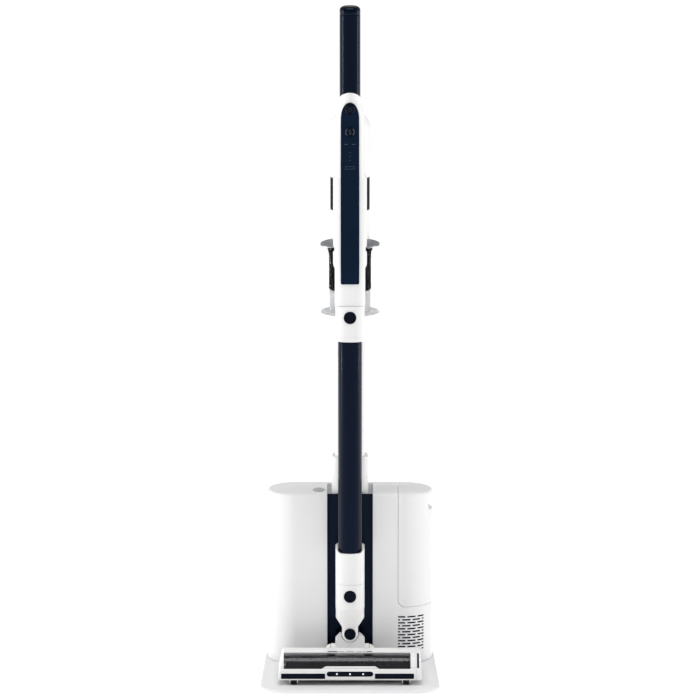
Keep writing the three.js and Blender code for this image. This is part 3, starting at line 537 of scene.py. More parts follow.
STATION_LOW, STATION_HIGH = ends("station_shell")
STATION_MID = middle("station_shell")
STATION_HALF, STATION_DEPTH = half("station_shell").x, half("station_shell").y
WALL = 3.0
DOOR_LEFT = low("side_door").x
DOOR_BOTTOM = low("side_door").z
DOOR_GAP = 0.5
BUTTON_TRAVEL, BUTTON_GAP = 1.5, 0.5
SLIDE_GAP = 0.35  # round a tube or key in its hole
OVAL = (2, ROUND)  # the power of an ellipse, and its sides
RECESS_HALF = half("front_strip").x + GAP
RECESS_BOTTOM = low("front_strip").z - GAP
RECESS_BACK = high("front_strip").y + GAP
CHANNEL_FLOOR, BAG_FLOOR, ABOVE_STATION = 294.0, 105.0, 320.0
DUCT_Y, DUCT_HALF = 52.0, 12.5


def station_outline(inset):
    radius = STATION_DEPTH - inset
    reach = STATION_HALF - STATION_DEPTH
    y = STATION_MID.y
    return arc(reach, y, radius, -90, 90, 48) + arc(-reach, y, radius, 90, 270, 48)


def station_solid(name, inset=0.0):
    z0, z1 = STATION_LOW.z + inset, STATION_HIGH.z - inset
    if inset:
        return prism(name, station_outline(inset), z0, z1)
    return soft_prism(name, station_outline, z0, z1, 1.0, 4.0)


def door_region(name, gap):
    """The front outline of the door's share of the station, drawn in by a gap."""
    corner, beyond = 12.0, 160.0
    left, bottom = DOOR_LEFT - GAP / 2 + gap, DOOR_BOTTOM - GAP / 2 + gap
    outline = [
        (left, ABOVE_STATION), *arc(left + corner, bottom + corner, corner, 180, 270, 10),
        (beyond, bottom), (beyond, ABOVE_STATION),
    ]
    return prism(name, outline, 0.0, 140.0, "y")


VENT_ROWS, VENT_PITCH, VENT_BOTTOM = 12, 5.136, 30.5
VENT_SLOT, VENT_STEP, VENT_TALL = 14.3, 17.7, 2.7
VENT_TOP = VENT_BOTTOM + VENT_ROWS * VENT_PITCH
VENT_SHORTEST = 2.0
VENT_DEEP = (80.0, 126.2)  # where the slots go through the wall
VENT_SHALLOW = (47.0, 73.0)  # where they are only marked in it


def round_the_end(distance):
    """The x of a place on the front wall, by its distance along the wall, which bends back at its end."""
    straight = STATION_HALF - STATION_DEPTH
    if distance < straight:
        return distance
    return straight + STATION_DEPTH * math.sin((distance - straight) / STATION_DEPTH)


def vent_slots():
    """Rows of short slots, every other one shifted by half a step: open on the right, faint on the left."""
    deep, faint = [], []
    front = STATION_LOW.y
    for row in range(VENT_ROWS):
        z = VENT_BOTTOM + row * VENT_PITCH
        first = VENT_DEEP[0] - 2.0 - (1 - row % 2) * VENT_STEP / 2 - 2 * VENT_STEP
        for i in range(6):
            start = first + i * VENT_STEP
            for cutters, limits, back in ((faint, VENT_SHALLOW, front + 0.3), (deep, VENT_DEEP, front + 28)):
                near, far = max(start, limits[0]), min(start + VENT_SLOT, limits[1])
                if far - near > VENT_SHORTEST:
                    outline = rounded(round_the_end(near), round_the_end(far), z, z + VENT_TALL, 0.8, 3)
                    cutters.append(prism("slot", outline, front - 10, back, "y"))
    return joined("deep_slots", deep), joined("faint_slots", faint)


def chamber(name, x0, z0, z1, wall=WALL):
    """The room inside the station's right end."""
    radius = STATION_DEPTH - wall
    y = STATION_MID.y
    end = arc(STATION_HALF - STATION_DEPTH, y, radius, -90, 90, 32)
    return prism(name, [(x0, y + radius), (x0, y - radius), *end], z0, z1)


def make_station():
    shell = station_solid("station_body")
    door = keep(copy_of(shell, "station_door"), door_region("region", DOOR_GAP))
    inside = station_solid("inside", WALL)
    carve(door, inside)
    carve(
        shell,
        door_region("region", 0.0),
        block("recess", -RECESS_HALF, RECESS_HALF, 0, RECESS_BACK, RECESS_BOTTOM, ABOVE_STATION),
        block("channel", -RECESS_HALF, RECESS_HALF, 10, 100, CHANNEL_FLOOR, ABOVE_STATION),
        chamber("bag_room", 44.0, BAG_FLOOR, STATION_HIGH.z - WALL),
        block("duct_room", -30.0, 45.0, 32, 112, BAG_FLOOR, 285.0),
        chamber("fan_room", 46.0, 14.0, BAG_FLOOR - WALL),
        chamber("thin_wall", 78.0, VENT_BOTTOM - 2, VENT_TOP, 1.0),
        prism("duct_hole", circle(0, DUCT_Y, DUCT_HALF), 270, 300),
    )
    button_floor = low("top_button").z - BUTTON_TRAVEL - BUTTON_GAP
    carve(
        shell,
        prism("button_hole", around("top_button", *OVAL)(-BUTTON_GAP), button_floor, ABOVE_STATION),
        room("inlet_hole", "power_inlet", y=(low("power_inlet").y - 1, 140)),
        *vent_slots(),
    )
    place(shell, "dock", SHELL, ["station_shell"], edge=0.35)
    return door


def make_door(door):
    """The tilting end of the station, with a finger notch cut across it."""
    notch_z0, notch_z1, depth = 265.0, 285.0, 7.0
    end = high("side_door").x
    boss = keep(
        block("boss", end - depth - 4, end, 36, 100, notch_z0 - 4, notch_z1 + 4),
        station_solid("inside", 0.0),
    )
    add(door, boss)
    outline = rounded(end - depth, end + 10, notch_z0, notch_z1, 2.2, 6)
    carve(door, prism("notch", outline, 20, 130, "y"))
    place(door, "door", SHELL, ["side_door"], edge=0.35)


make_door(make_station())


def make_strip():
    """The dark lining behind the wand, with a fine groove along each side."""
    z0, z1 = heights("front_strip")
    x, y = half("front_strip").x, high("front_strip").y
    strip = prism("recess_strip", rounded(-x, x, z0, z1, 1.5), y - 2, y, "y")
    ribs = []
    for rib_x in (3.0 - x, x - 3.0):
        ribs.append(block("rib", rib_x - 0.4, rib_x + 0.4, y - 2.5, y - 1.5, z0 + 3, z1 - 3))
    place(carve(strip, *ribs), "dock", NAVY, ["front_strip"], edge=0.4)


def make_channel_shade():
    """Painted shade: a grey floor in the channel that the socket stands in, and low grey rails beside it,
    standing in for the shade down in the channel.
    """
    z, x = CHANNEL_FLOOR, RECESS_HALF
    floor = block("channel_shade_floor", -x + 0.2, x - 0.2, RECESS_BACK, 99.8, z - 0.1, z + 0.25)
    place(floor, "dock", GREY, edge=0.1)
    walls = []
    for wall_x in (0.5 - x, x - 0.5):
        walls.append(block("wall", wall_x - 0.3, wall_x + 0.3, RECESS_BACK, 99.5, z + 0.3, z + 3.0))
    place(joined("channel_shade_walls", walls), "dock", GREY, edge=0.1)


POLE_POWER = 3.2


def make_pole():
    """The hollow pole that carries the dust down, and the rubber lip on its top."""
    z0, z1 = heights("rear_pole")
    outline = around("rear_pole", POLE_POWER)
    pole = soft_prism("dock_pole", outline, z0, z1, 0.2, 1.6)
    carve(pole, prism("duct", outline(3.0), z0 - 5, z1 + 5))
    place(pole, "dock", WHITE, ["rear_pole"], edge=0.3)
    seal_low, seal_high = heights("port_seal")
    seal = soft_prism("port_lip", lambda inset: outline(0.6 + inset), seal_low, seal_high, 1.2, 1.4)
    carve(seal, prism("port", outline(3.4), seal_low - 5, seal_high + 5))
    place(seal, "dock", RUBBER, ["port_seal"], edge=0.2)


def make_socket():
    z0, z1 = heights("pole_socket")
    socket = soft_prism("pole_foot", around("pole_socket", 3.4), z0, z1, 0.4, 2.6)
    carve(socket, prism("bore", around("rear_pole", POLE_POWER)(-SLIDE_GAP), z0 - 5, z1 + 5))
    place(socket, "dock", WHITE, ["pole_socket"], edge=0.3)


def make_base():
    """A thin plate with a rolled edge, square at the front and rounder at the back."""
    a, b = ends("base_plate")
    front_corner, back_corner, narrower = 40.0, 52.0, 6.5

    def outline(inset):
        points = []
        front_half, back_half = b.x - inset, b.x - narrower - inset
        y0, y1 = a.y + inset, b.y - inset
        sides = (
            (front_half, y0, front_corner - inset, 270), (back_half, y1, back_corner - inset, 0),
            (-back_half, y1, back_corner - inset, 90), (-front_half, y0, front_corner - inset, 180),
        )
        for x, y, radius, start in sides:
            cx = x - math.copysign(radius, x)
            cy = y + radius if y < 0 else y - radius
            points += arc(cx, cy, radius, start, start + 90, 20)
        return points

    plate = soft_prism("dock_base", outline, a.z, b.z, 0.8, 4.2, steps=8)
    place(plate, "dock", PALE, ["base_plate"], sharp=40)
    for i in range(1, 5):
        node = "foot_%d" % i
        centre, radius = middle(node), half(node).x
        top = high(node).z
        profile = [(0, 0), (radius - 1, 0), (radius, 0.8), (radius, top), (0, top)]
        foot = turned("rubber_foot_%d" % i, profile, (centre.x, centre.y, 0), steps=48)
        place(foot, "dock", RUBBER, [node], edge=0.2)


def make_top_button():
    button = soft_prism("dock_top_button", around("top_button", *OVAL), *heights("top_button"), 0.2, 0.9)
    place(button, "dock_button", GREY, ["top_button"])


make_strip()
make_channel_shade()
make_pole()
make_socket()
make_base()
make_top_button()


# ---- dock: what the open door and the back show


def make_bag():
    """A cloth bag, puffed out by the air in it."""
    centre, room_to_swell, levels = middle("dust_bag"), 7.0, 24
    reach = half("dust_bag") - Vector((room_to_swell,) * 3)
    rings = []
    for i in range(levels + 1):
        t = -1 + 2 * i / levels
        size = 0.35 + 0.65 * (1 - abs(t) ** 5) ** 0.5
        outline = squircle(centre.x, centre.y, reach.x * size, reach.y * size, 3.0, 64)
        rings.append([(u, v, centre.z + reach.z * t) for u, v in outline])
    bag = new_object("cloth_bag", stack(rings))
    remesh = bag.modifiers.new("voxels", "REMESH")
    remesh.mode = "VOXEL"
    remesh.voxel_size = 0.005
    bake(bag)
    before = [v.co.copy() for v in bag.data.vertices]
    cloth = bag.modifiers.new("cloth", "CLOTH")
    cloth.settings.use_pressure = True
    cloth.settings.uniform_pressure_force = 4.0
    cloth.settings.effector_weights.gravity = 0.0
    last_frame, most = 20, 6 * MM
    for step in range(1, last_frame + 1):
        bpy.context.scene.frame_set(step)
    bake(bag)
    bpy.context.scene.frame_set(1)
    for vertex, start in zip(bag.data.vertices, before):
        shift = vertex.co - start
        if shift.length > most:
            vertex.co = start + shift.normalized() * most
    for vertex in bag.data.vertices:
        p = vertex.co / MM
        crease = noise.noise(Vector((p.x, p.y * 0.6, p.z * 0.5)) * 0.09)
        inward = (centre - p).normalized()
        vertex.co += inward * (1.4 * crease + 0.8) * MM
    smooth = bag.modifiers.new("smooth", "SUBSURF")
    smooth.levels = smooth.render_levels = 1
    place(bag, "dock", CLOTH, ["dust_bag"], sharp=80)


def make_dock_insides():
    """The bag's card, the foam behind the vents, the mains inlet and the charging contacts."""
    a, b = ends("bag_collar")
    duct_z = 246.7
    card = prism("card_collar", rounded(a.y, b.y, a.z, b.z, 4), a.x, b.x, "x")
    carve(card, prism("hole", circle(DUCT_Y, duct_z, DUCT_HALF + 0.1), a.x - 5, b.x + 5, "x"))
    place(card, "dock", CARD, ["bag_collar"], edge=0.4)

    y, reach = STATION_MID.y, STATION_HALF - STATION_DEPTH
    outer = arc(reach, y, STATION_DEPTH - 1.2, -90, -34, 16)
    inner = arc(reach, y, STATION_DEPTH - WALL - 8.0, -34, -90, 16)
    outline = [(79.0, outer[0][1]), *outer, *inner, (79.0, inner[-1][1])]
    foam = prism("exhaust_foam", outline, VENT_BOTTOM - 1.5, VENT_TOP - 0.5)
    place(foam, "dock", FOAM, ["exhaust_filter"], edge=0.5)

    finish_cad("dust_duct", LIGHT_GREY)
    finish_cad("dock_fan", LIGHT_GREY)
    finish_cad("door_seal", RUBBER)

    a, b = ends("power_inlet")
    body = prism("mains_inlet", rounded(a.x, b.x, a.z, b.z, 2), a.y, b.y, "y")
    x, z = (a.x + b.x) / 2, (a.z + b.z) / 2
    carve(body, prism("well", rounded(x - 8, x + 8, z - 5, z + 5, 4.9), a.y + 4, b.y + 5, "y"))
    pins = [prism("pin", circle(x + side * 3.8, z, 1.1, 20), a.y + 2, b.y - 1.5, "y") for side in (-1, 1)]
    place(body, "dock", BLACK, ["power_inlet"], edge=0.4)
    place(joined("inlet_pins", pins), "dock", STEEL, edge=0.3)

    a, b = ends("charge_contacts")
    contacts = prism("contact_block", rounded(a.x, b.x, a.z, b.z, 3), a.y + 0.8, b.y, "y")
    place(contacts, "dock", BLACK, ["charge_contacts"], edge=0.6)
    pads = [prism("pad", circle(side * 4.2, (a.z + b.z) / 2, 2.0, 24), a.y, a.y + 2, "y") for side in (-1, 1)]
    place(joined("contact_pads", pads), "dock", STEEL, edge=0.3)


make_bag()
make_dock_insides()


# -------------------- the stick

AXIS_Y = middle("wand_tube").y
CUP_Y = middle("dust_cup").y
TUBE_RADIUS = half("wand_tube").x
TUBE_BORE = TUBE_RADIUS - 2.4
TUBE_ROOM = TUBE_RADIUS + SLIDE_GAP
CUP_RADIUS = half("dust_cup").x
CUP_ROOM = CUP_RADIUS + 0.6
AXIS, CUP_AXIS = (0, AXIS_Y, 0), (0, CUP_Y, 0)
PIN_HOLE = 5.3  # for the swivel pin


def round_button(name, node, body, material, dish=0.5):
    """A round key with a rolled rim and a slightly dished face."""
    centre, radius = middle(node), half(node).x
    front, back = low(node).y, high(node).y
    profile = [
        (0, back), (radius, back), (radius, front + 0.7), (radius - 0.25, front + 0.2), (radius - 0.8, front),
        (radius - 1.6, front + 0.05), (radius * 0.6, front + dish * 0.7), (0, front + dish),
    ]
    key = turned(name, profile, (centre.x, 0, centre.z), "y", ROUND)
    place(key, body, material, [node], sharp=50)


def make_wand():
    profile = tube_profile(TUBE_BORE, TUBE_RADIUS, *heights("wand_tube"), 0.5)
    tube = ring_turned("wand", profile, AXIS, steps=FINE)
    place(tube, "stick", LACQUER, ["wand_tube"])


def make_tube_collar():
    """The collar on the wand's top, with a fine seam all round and room for the cup above it."""
    z0, z1 = heights("tube_collar")
    outline = around("tube_collar", 2.9)
    tube_stop, cup_stop = 595.5, 599.3
    collar = soft_prism("upper_collar", outline, z0, z1, 1.8, 0.5)
    carve(
        collar,
        prism("bore", circle(0, AXIS_Y, TUBE_ROOM, 96), z0 - 5, tube_stop),
        prism("cup_room", circle(0, CUP_Y, CUP_ROOM, 96), cup_stop, z1 + FAR),
        key_room("wand_release", SLIDE_GAP, -26),
    )
    seam, seam_half, seam_deep = z0 + 8.2, 0.25, 0.35
    groove = prism("groove", outline(-2), seam - seam_half, seam + seam_half)
    carve(groove, prism("kept", outline(seam_deep), seam - 3, seam + 3))
    carve(collar, groove)
    place(collar, "stick", WHITE, ["tube_collar"], edge=0.35)


RIM_SLOPE = 0.42


def make_neck():
    """The lower collar: a sloping rim at its top, then a base that narrows to the swivel."""
    seam, rim = heights("neck_collar")
    scoop_half, scoop_deep = 20.6, 9.6
    scoop = rounded(-scoop_half, scoop_half, rim - scoop_deep, rim + 30, 6)
    upper = soft_prism("lower_collar", around("neck_collar", 2.7), seam, rim, 0.4, 0.4)
    carve(
        upper,
        prism("bore", circle(0, AXIS_Y, TUBE_ROOM, 96), low("wand_tube").z - GAP, rim + 20),
        prism("airway", circle(0, AXIS_Y, TUBE_BORE, ROUND), seam - 5, rim),
        tilted_block("rim", (0, AXIS_Y, rim - 0.5), (0, -RIM_SLOPE, 1)),
        prism("scoop", scoop, -FAR, AXIS_Y - 5, "y"),
    )
    place(upper, "stick", WHITE, ["neck_collar"], edge=0.5)

    top = high("neck_base").z
    pivot = middle("swivel_pin").z
    fork, wide, deep = 13.5, 24.0, 23.0
    levels = [
        (top, wide, deep, 2.7), (top - 0.5, wide, deep, 2.7), (pivot + 42.4, wide, deep, 2.7),
        (pivot + 41.6, 23.6, 22.5, 2.7), (pivot + 26.5, 23.6, 22.3, 2.7), (pivot + 25.0, 22.9, 21.4, 2.7),
        (pivot + 11.5, fork + 0.7, 16.4, 3.2), (pivot + 9.5, fork, 15.6, 3.6), (pivot, fork, 15.0, 4.0),
        (pivot - fork - 1, fork, 15.0, 4.0),
    ]
    rings = [[(u, v, z) for u, v in squircle(0, AXIS_Y, a, b, power)] for z, a, b, power in levels]
    lower = new_object("swivel_neck", stack(rings))
    shoulder = pivot + 9
    tongue = [(40, 200), (-40, 200), (-40, shoulder), (-fork - 0.1, shoulder)]
    tongue += arc(0, pivot, fork + 0.1, 180, 360, 32) + [(fork + 0.1, shoulder), (40, shoulder)]
    keep(lower, prism("tongue", tongue, -FAR, FAR, "y"))
    carve(
        lower,
        block("slot", -40, 40, -14.0, 0.0, 40, pivot + 21),
        prism("pin_hole", circle(0, pivot, PIN_HOLE, 32), -FAR, FAR, "y"),
        key_room("neck_release", SLIDE_GAP, -24),
        prism("airway", circle(0, AXIS_Y, TUBE_BORE, ROUND), pivot + 40, top + 5),
    )
    place(lower, "stick", WHITE, ["neck_base"], edge=0.4)


def make_swivel_cap():
    """The swivel's pin, whose wide round cap shows at the front."""
    front, back = low("swivel_pin").y, high("swivel_pin").y
    radius, pin = half("swivel_pin").x, PIN_HOLE - GAP
    profile = [
        (0, back), (pin, back), (pin, front + 2.5), (radius, front + 2.4), (radius, front + 0.8),
        (radius - 0.3, front + 0.25), (radius - 0.9, front), (0, front),
    ]
    cap = turned("swivel_cap", profile, (0, 0, middle("swivel_pin").z), "y", ROUND)
    place(cap, "stick", BLACK, ["swivel_pin"], sharp=50)


make_wand()
make_tube_collar()
make_neck()
make_swivel_cap()
round_button("wand_key", "wand_release", "wand_key", BLACK)
round_button("neck_key", "neck_release", "neck_key", BLACK)


# ---- grip, spine and panel

GRIP_RADIUS = half("grip_tube").x
CUT_SLOPE = 0.78
CUT_HEIGHT = low("grip_tube").z + 4.4
CUT_NORMAL = (0, CUT_SLOPE, 1)


def make_grip():
    """The round grip, cut off aslant above the spine, and the cap on its top."""
    r, bottom, top = GRIP_RADIUS, CUT_HEIGHT - 24.0, high("grip_tube").z
    profile = [(0, bottom), (r, bottom), (r, top - GAP), (r - GAP, top), (0, top)]
    grip = turned("grip", profile, AXIS, steps=FINE)
    keep(grip, tilted_block("cut", (0, AXIS_Y, CUT_HEIGHT), CUT_NORMAL))
    place(grip, "stick", LACQUER, ["grip_tube"], edge=0.3)
    z0, z1 = heights("grip_cap")
    tall = z1 - z0
    straight, steps = 0.42, 12  # share of the cap's height and radius before it turns in
    cap_profile = [(0, z0), (r - GAP, z0), (r, z0 + GAP), (r, z0 + tall * straight)]
    for i in range(1, steps):
        a = math.pi / 2 * i / steps
        out, up = math.cos(a), math.sin(a) ** 0.8
        cap_profile.append((
            r * (straight + (1 - straight) * out), z0 + tall * (straight + (1 - straight) * up),
        ))
    cap_profile += [(r * straight, z1 - 0.05), (0, z1)]
    cap = turned("grip_end", cap_profile, AXIS, steps=FINE)
    place(cap, "stick", LACQUER, ["grip_cap"], sharp=50)


WAIST, SEAM, SHOULDER = 690.0, 836.0, 948.0
HOUSING_FRONT = 6.3  # where the rear housing meets the spine
PANEL_HALF = half("control_panel").x
PANEL_LOW, PANEL_HIGH = heights("control_panel")
PANEL_FRONT, PANEL_BACK = low("control_panel").y, high("control_panel").y
PANEL_KEYS = ("power_button", "mode_button")


def panel_outline(inset):
    """Square below with small corners, a tall rounded arch above."""
    h = PANEL_HALF - inset
    top, bottom = PANEL_HIGH - inset, PANEL_LOW + inset
    arch, power, corner, steps = 28.0, 2.2, 2.5, 32
    points = arc(h - corner, bottom + corner, corner, -90, 0, 6)
    points += squircle(0, top - arch, h, arch, power, 2 * steps)[:steps + 1]
    return points + arc(corner - h, bottom + corner, corner, 180, 270, 6)


def make_panel():
    """The dark panel in its raised rim, with two dashes, three dots and a charge frame printed on it."""
    face = PANEL_FRONT + 0.35
    plate = soft_prism("display_panel", panel_outline, PANEL_FRONT, PANEL_BACK, 0.5, 0.1, "y")
    field = prism("field", panel_outline(1.1), PANEL_FRONT - 5, face, "y")
    holes = [key_room(node, GAP, -20) for node in PANEL_KEYS]
    place(carve(plate, field, *holes), "stick", PANEL, ["control_panel"], edge=0.15)

    dash_x, dash_low, dash_high, dash_half = 6.1625, 893.0, 894.4, 2.6
    dot_z, dot_pitch = 873.5, 6.5
    print_depth = (face - 0.06, face + 0.1)
    marks = []
    for x in (-dash_x, dash_x):
        dash = rounded(x - dash_half, x + dash_half, dash_low, dash_high, 0.6, 4)
        marks.append(prism("dash", dash, *print_depth, "y"))
    for i in (1, 0, -1):
        marks.append(prism("dot", circle(0, dot_z + i * dot_pitch, 0.9, 20), *print_depth, "y"))
    place(joined("panel_marks", marks), "stick", MARK)
    left, right, bottom, top, line = -8.0, 8.0, 852.5, 857.5, 0.7
    outer = rounded(left, right, bottom, top, 1.0, 4)
    charge_frame = prism("battery_mark", outer, face - 0.05, face + 0.1, "y")
    inner = rounded(left + line, right - line, bottom + line, top - line, 0.6, 4)
    carve(charge_frame, prism("inner", inner, face - 5, face + 5, "y"))
    place(charge_frame, "stick", MARK)


def ring_mark(node, up, radius, width, start, end):
    """A piece of a thin ring printed on a key, round a place above its middle."""
    z, front = middle(node).z + up, low(node).y
    outline = arc(0, z, radius, start, end, 40) + arc(0, z, radius - width, end, start, 40)
    return prism("ring", outline, front - 0.08, front + 0.25, "y")


def make_power_button():
    """The upper key: a broken ring round a power symbol."""
    node = "power_button"
    round_button("power_pad", node, "power_key", BLACK, 0.15)
    z, radius, front = middle(node).z, half(node).x - 0.9, low(node).y
    marks = [
        ring_mark(node, 0, radius, 0.5, 135, 240),
        ring_mark(node, 0, radius, 0.5, -60, 45),
        ring_mark(node, 0, 2.8, 0.4, -240, 60),
        prism("bar", rounded(-0.3, 0.3, z + 1.0, z + 3.4, 0.25, 3), front - 0.08, front + 0.25, "y"),
    ]
    place(joined("power_pad_symbol", marks), "power_key", MARK)


def make_mode_button():
    """The lower key: two brackets round a double bend."""
    node = "mode_button"
    round_button("mode_pad", node, "mode_key", BLACK, 0.15)
    radius, bend = half(node).x - 1.0, 1.6
    marks = [
        ring_mark(node, 0, radius, 0.7, 130, 225),
        ring_mark(node, 0, radius, 0.7, -45, 50),
        ring_mark(node, bend, 1.9, 0.4, 40, 250),
        ring_mark(node, -bend, 1.9, 0.4, -140, 70),
    ]
    place(joined("mode_pad_symbol", marks), "mode_key", SYMBOL)


def body_loft(name, levels):
    """A solid through rounded sections: each level is (z, centre y, half width, half depth, power)."""
    rings = [[(u, v, z) for u, v in squircle(0, y, a, b, power, FINE)] for z, y, a, b, power in levels]
    return new_object(name, stack(rings))


def make_spine():
    """The long front moulding: it carries the panel and flows up into the grip."""
    front = low("front_spine").y
    bottom = low("front_spine").z
    middle_y, deep, wide = -8.0, 19.0, 27.6
    levels = [
        (bottom, middle_y, 24.6, 18.9, 3.0), (bottom + 0.8, middle_y, 25.0, deep, 3.0),
        (WAIST - 4.0, middle_y, 25.0, deep, 3.2), (WAIST + 2.0, middle_y, wide, deep, 3.4),
        (SEAM, middle_y, wide, deep, 3.4), (SEAM + 6.0, middle_y, 23.6, deep, 3.4),
        (SHOULDER - 22.0, middle_y, 23.2, deep, 3.2), (SHOULDER - 6.2, -4.6, 22.6, 22.4, 2.8),
        (SHOULDER, -5.6, 21.8, 21.4, 2.4), (SHOULDER + 8.0, AXIS_Y, 20.2, 20.2, 2.1),
        (SHOULDER + 16.0, AXIS_Y, 18.6, 18.6, 2.0), (SHOULDER + 26.0, AXIS_Y, 17.5, 17.5, 2.0),
        (SHOULDER + 44.0, AXIS_Y, GRIP_RADIUS, GRIP_RADIUS, 2.0),
    ]
    spine = body_loft("front_body", levels)
    keep(spine, block("front_limit", -FAR, FAR, front, FAR, 600, 1000))
    carve(
        spine,
        tilted_block("cut", (0, AXIS_Y, CUT_HEIGHT - GAP), CUT_NORMAL),
        block("back", -FAR, FAR, HOUSING_FRONT - GAP, FAR, 600, SHOULDER - 6.0),
        prism("cup_room", circle(0, CUP_Y, CUP_ROOM, 96), 590, high("cup_lid").z + 0.4),
        prism("panel_room", panel_outline(-SLIDE_GAP), -FAR, PANEL_BACK + GAP, "y"),
        prism("battery_room", rounded(-18, 18, -22, 30, 2), 735, 925),
        *[key_room(node, GAP, -22) for node in PANEL_KEYS],
    )
    add(spine, prism("post", circle(0, AXIS_Y, 12.4, 48), SHOULDER - 8, high("front_spine").z))
    for x in (-wide, wide):
        carve(spine, block("notch", x - 2.2, x + 2.2, -30, 2, 714.0, 722.5))
    place(spine, "stick", WHITE, ["front_spine"], edge=0.35)


make_grip()
make_panel()
make_power_button()
make_mode_button()
make_spine()


# ---- round housing behind the spine


VENT_LEFT, VENT_RIGHT = (-60, -24), (24, 60)  # the spans of x that hold the side vents


def make_housing():
    """Two round rings behind the spine, the upper one closed by a dome."""
    wall, edge = 2.5, 0.5
    upper = half("upper_housing").x
    split, peak = heights("upper_housing")
    dome = [
        (0, split), (upper - edge, split), (upper, split + edge), (upper, 911.0), (upper - 0.3, 914.0),
        (upper - 1.3, 917.5), (31, 924), (25.5, 931), (18, 938.5), (8, 946), (0, peak),
    ]
    cover = turned("battery_cover", dome, CUP_AXIS, steps=FINE)
    keep(cover, block("behind", -FAR, FAR, HOUSING_FRONT, 120, 700, 1000))
    carve(
        cover,
        prism("room", circle(0, CUP_Y, upper - wall, 96), split - 5, 906),
        prism("crown_room", circle(0, AXIS_Y, 27.3, ROUND), SHOULDER - 6.0 - GAP, 1000),
    )
    place(cover, "stick", WHITE, ["upper_housing"], edge=0.4)

    lower = half("lower_housing").x
    bottom, seam = heights("lower_housing")
    profile = [(0, bottom), (lower - edge, bottom), (lower, bottom + edge), (lower, seam), (0, seam)]
    ring = turned("motor_cover", profile, CUP_AXIS, steps=FINE)
    keep(ring, block("behind", -FAR, FAR, HOUSING_FRONT, 120, 700, 1000))
    carve(
        ring,
        prism("room", circle(0, CUP_Y, lower - wall, 96), bottom + 2, seam + 5),
        prism("inlet", circle(0, CUP_Y, 19, ROUND), bottom - 5, bottom + 5),
        room("vent_room", "vent_left", x=VENT_LEFT),
        room("vent_room", "vent_right", x=VENT_RIGHT),
    )
    place(ring, "stick", WHITE, ["lower_housing"], edge=0.3)
    make_vent("grille_left", "vent_left", VENT_LEFT, lower)
    make_vent("grille_right", "vent_right", VENT_RIGHT, lower)


def make_vent(name, node, across, radius):
    """A curved grille of upright bars."""
    a, b = ends(node)
    grille = prism(name, circle(0, CUP_Y, radius - 0.2, FINE), a.z, b.z)
    carve(grille, prism("room", circle(0, CUP_Y, radius - 2.4, FINE), a.z - 5, b.z + 5))
    keep(grille, block("window", *across, a.y, b.y, a.z, b.z))
    slots = []
    count, slot_half, rim = 9, 0.8, 3
    for i in range(count):
        y = a.y + (b.y - a.y) * (i + 0.7) / (count + 0.4)
        slots.append(block("slot", *across, y - slot_half, y + slot_half, a.z + rim, b.z - rim))
    carve(grille, joined("slots", slots))
    place(grille, "stick", BLACK, [node], edge=0.15)


make_housing()

finish_cad("fan_motor", STEEL)
finish_cad("motor_filter", PAPER)
finish_cad("battery_pack", GREY)
finish_cad("brush_motor", STEEL)
finish_cad("hinge_pin", STEEL)


# ---- dust cup

def make_cup():
    """The clear wall, and the cup's floor with the flap that lets the dust out."""
    wall, r = 2.0, CUP_RADIUS
    profile = tube_profile(r - wall, r, *heights("dust_cup"), 0.3)
    cup = ring_turned("clear_cup", profile, CUP_AXIS, steps=FINE)
    place(cup, "cup", CLEAR, ["dust_cup"])
    make_lid()
    z0, z1 = heights("cup_base")
    profile = [(0, z0), (r - 1.2, z0), (r, z0 + 1.2), (r, z1 - 0.3), (r - 0.3, z1), (0, z1)]
    base = turned("cup_floor", profile, CUP_AXIS, steps=FINE)
    carve(base, room("port", "emptying_flap", z=(z0 - 5, z1 + 5)))
    place(base, "cup", CUP_FLOOR, ["cup_base"], edge=0.2)
    a, b = ends("emptying_flap")
    door = prism("port_flap", rounded(a.x, b.x, a.y, b.y, 1.5), a.z, b.z)
    place(door, "flap", RUBBER, ["emptying_flap"], edge=0.3)


def make_lid():
    """The grey lid: a thin disc with rings of small six-sided pockets, and a collar in its middle."""
    z0, z1 = heights("cup_lid")
    r, neck, bore = CUP_RADIUS, 31.0, 20.0
    profile = [
        (bore, z0), (r - 3.0, z0), (r, z0 + 0.8), (r, z0 + 1.2), (r - 1.6, z0 + 1.9),
        (neck + 2.5, z0 + 3.4), (neck, z0 + 5.0), (neck, z1 - 0.3), (neck - 0.3, z1), (bore, z1),
    ]
    lid = ring_turned("cup_lid_ring", profile, CUP_AXIS, steps=FINE)
    pockets = []
    for ring_radius, count, shift in ((44.0, 48, 0.0), (40.2, 44, 0.5), (36.4, 40, 0.0)):
        for i in range(count):
            a = TAU * (i + shift) / count
            u, v = ring_radius * math.cos(a), CUP_Y + ring_radius * math.sin(a)
            pockets.append(prism("pocket", circle(u, v, 1.45, 6), z0 + 1.2, z1 + 3))
    carve(lid, joined("pockets", pockets))
    place(lid, "cup", LID_GREY, ["cup_lid"], edge=0.12)


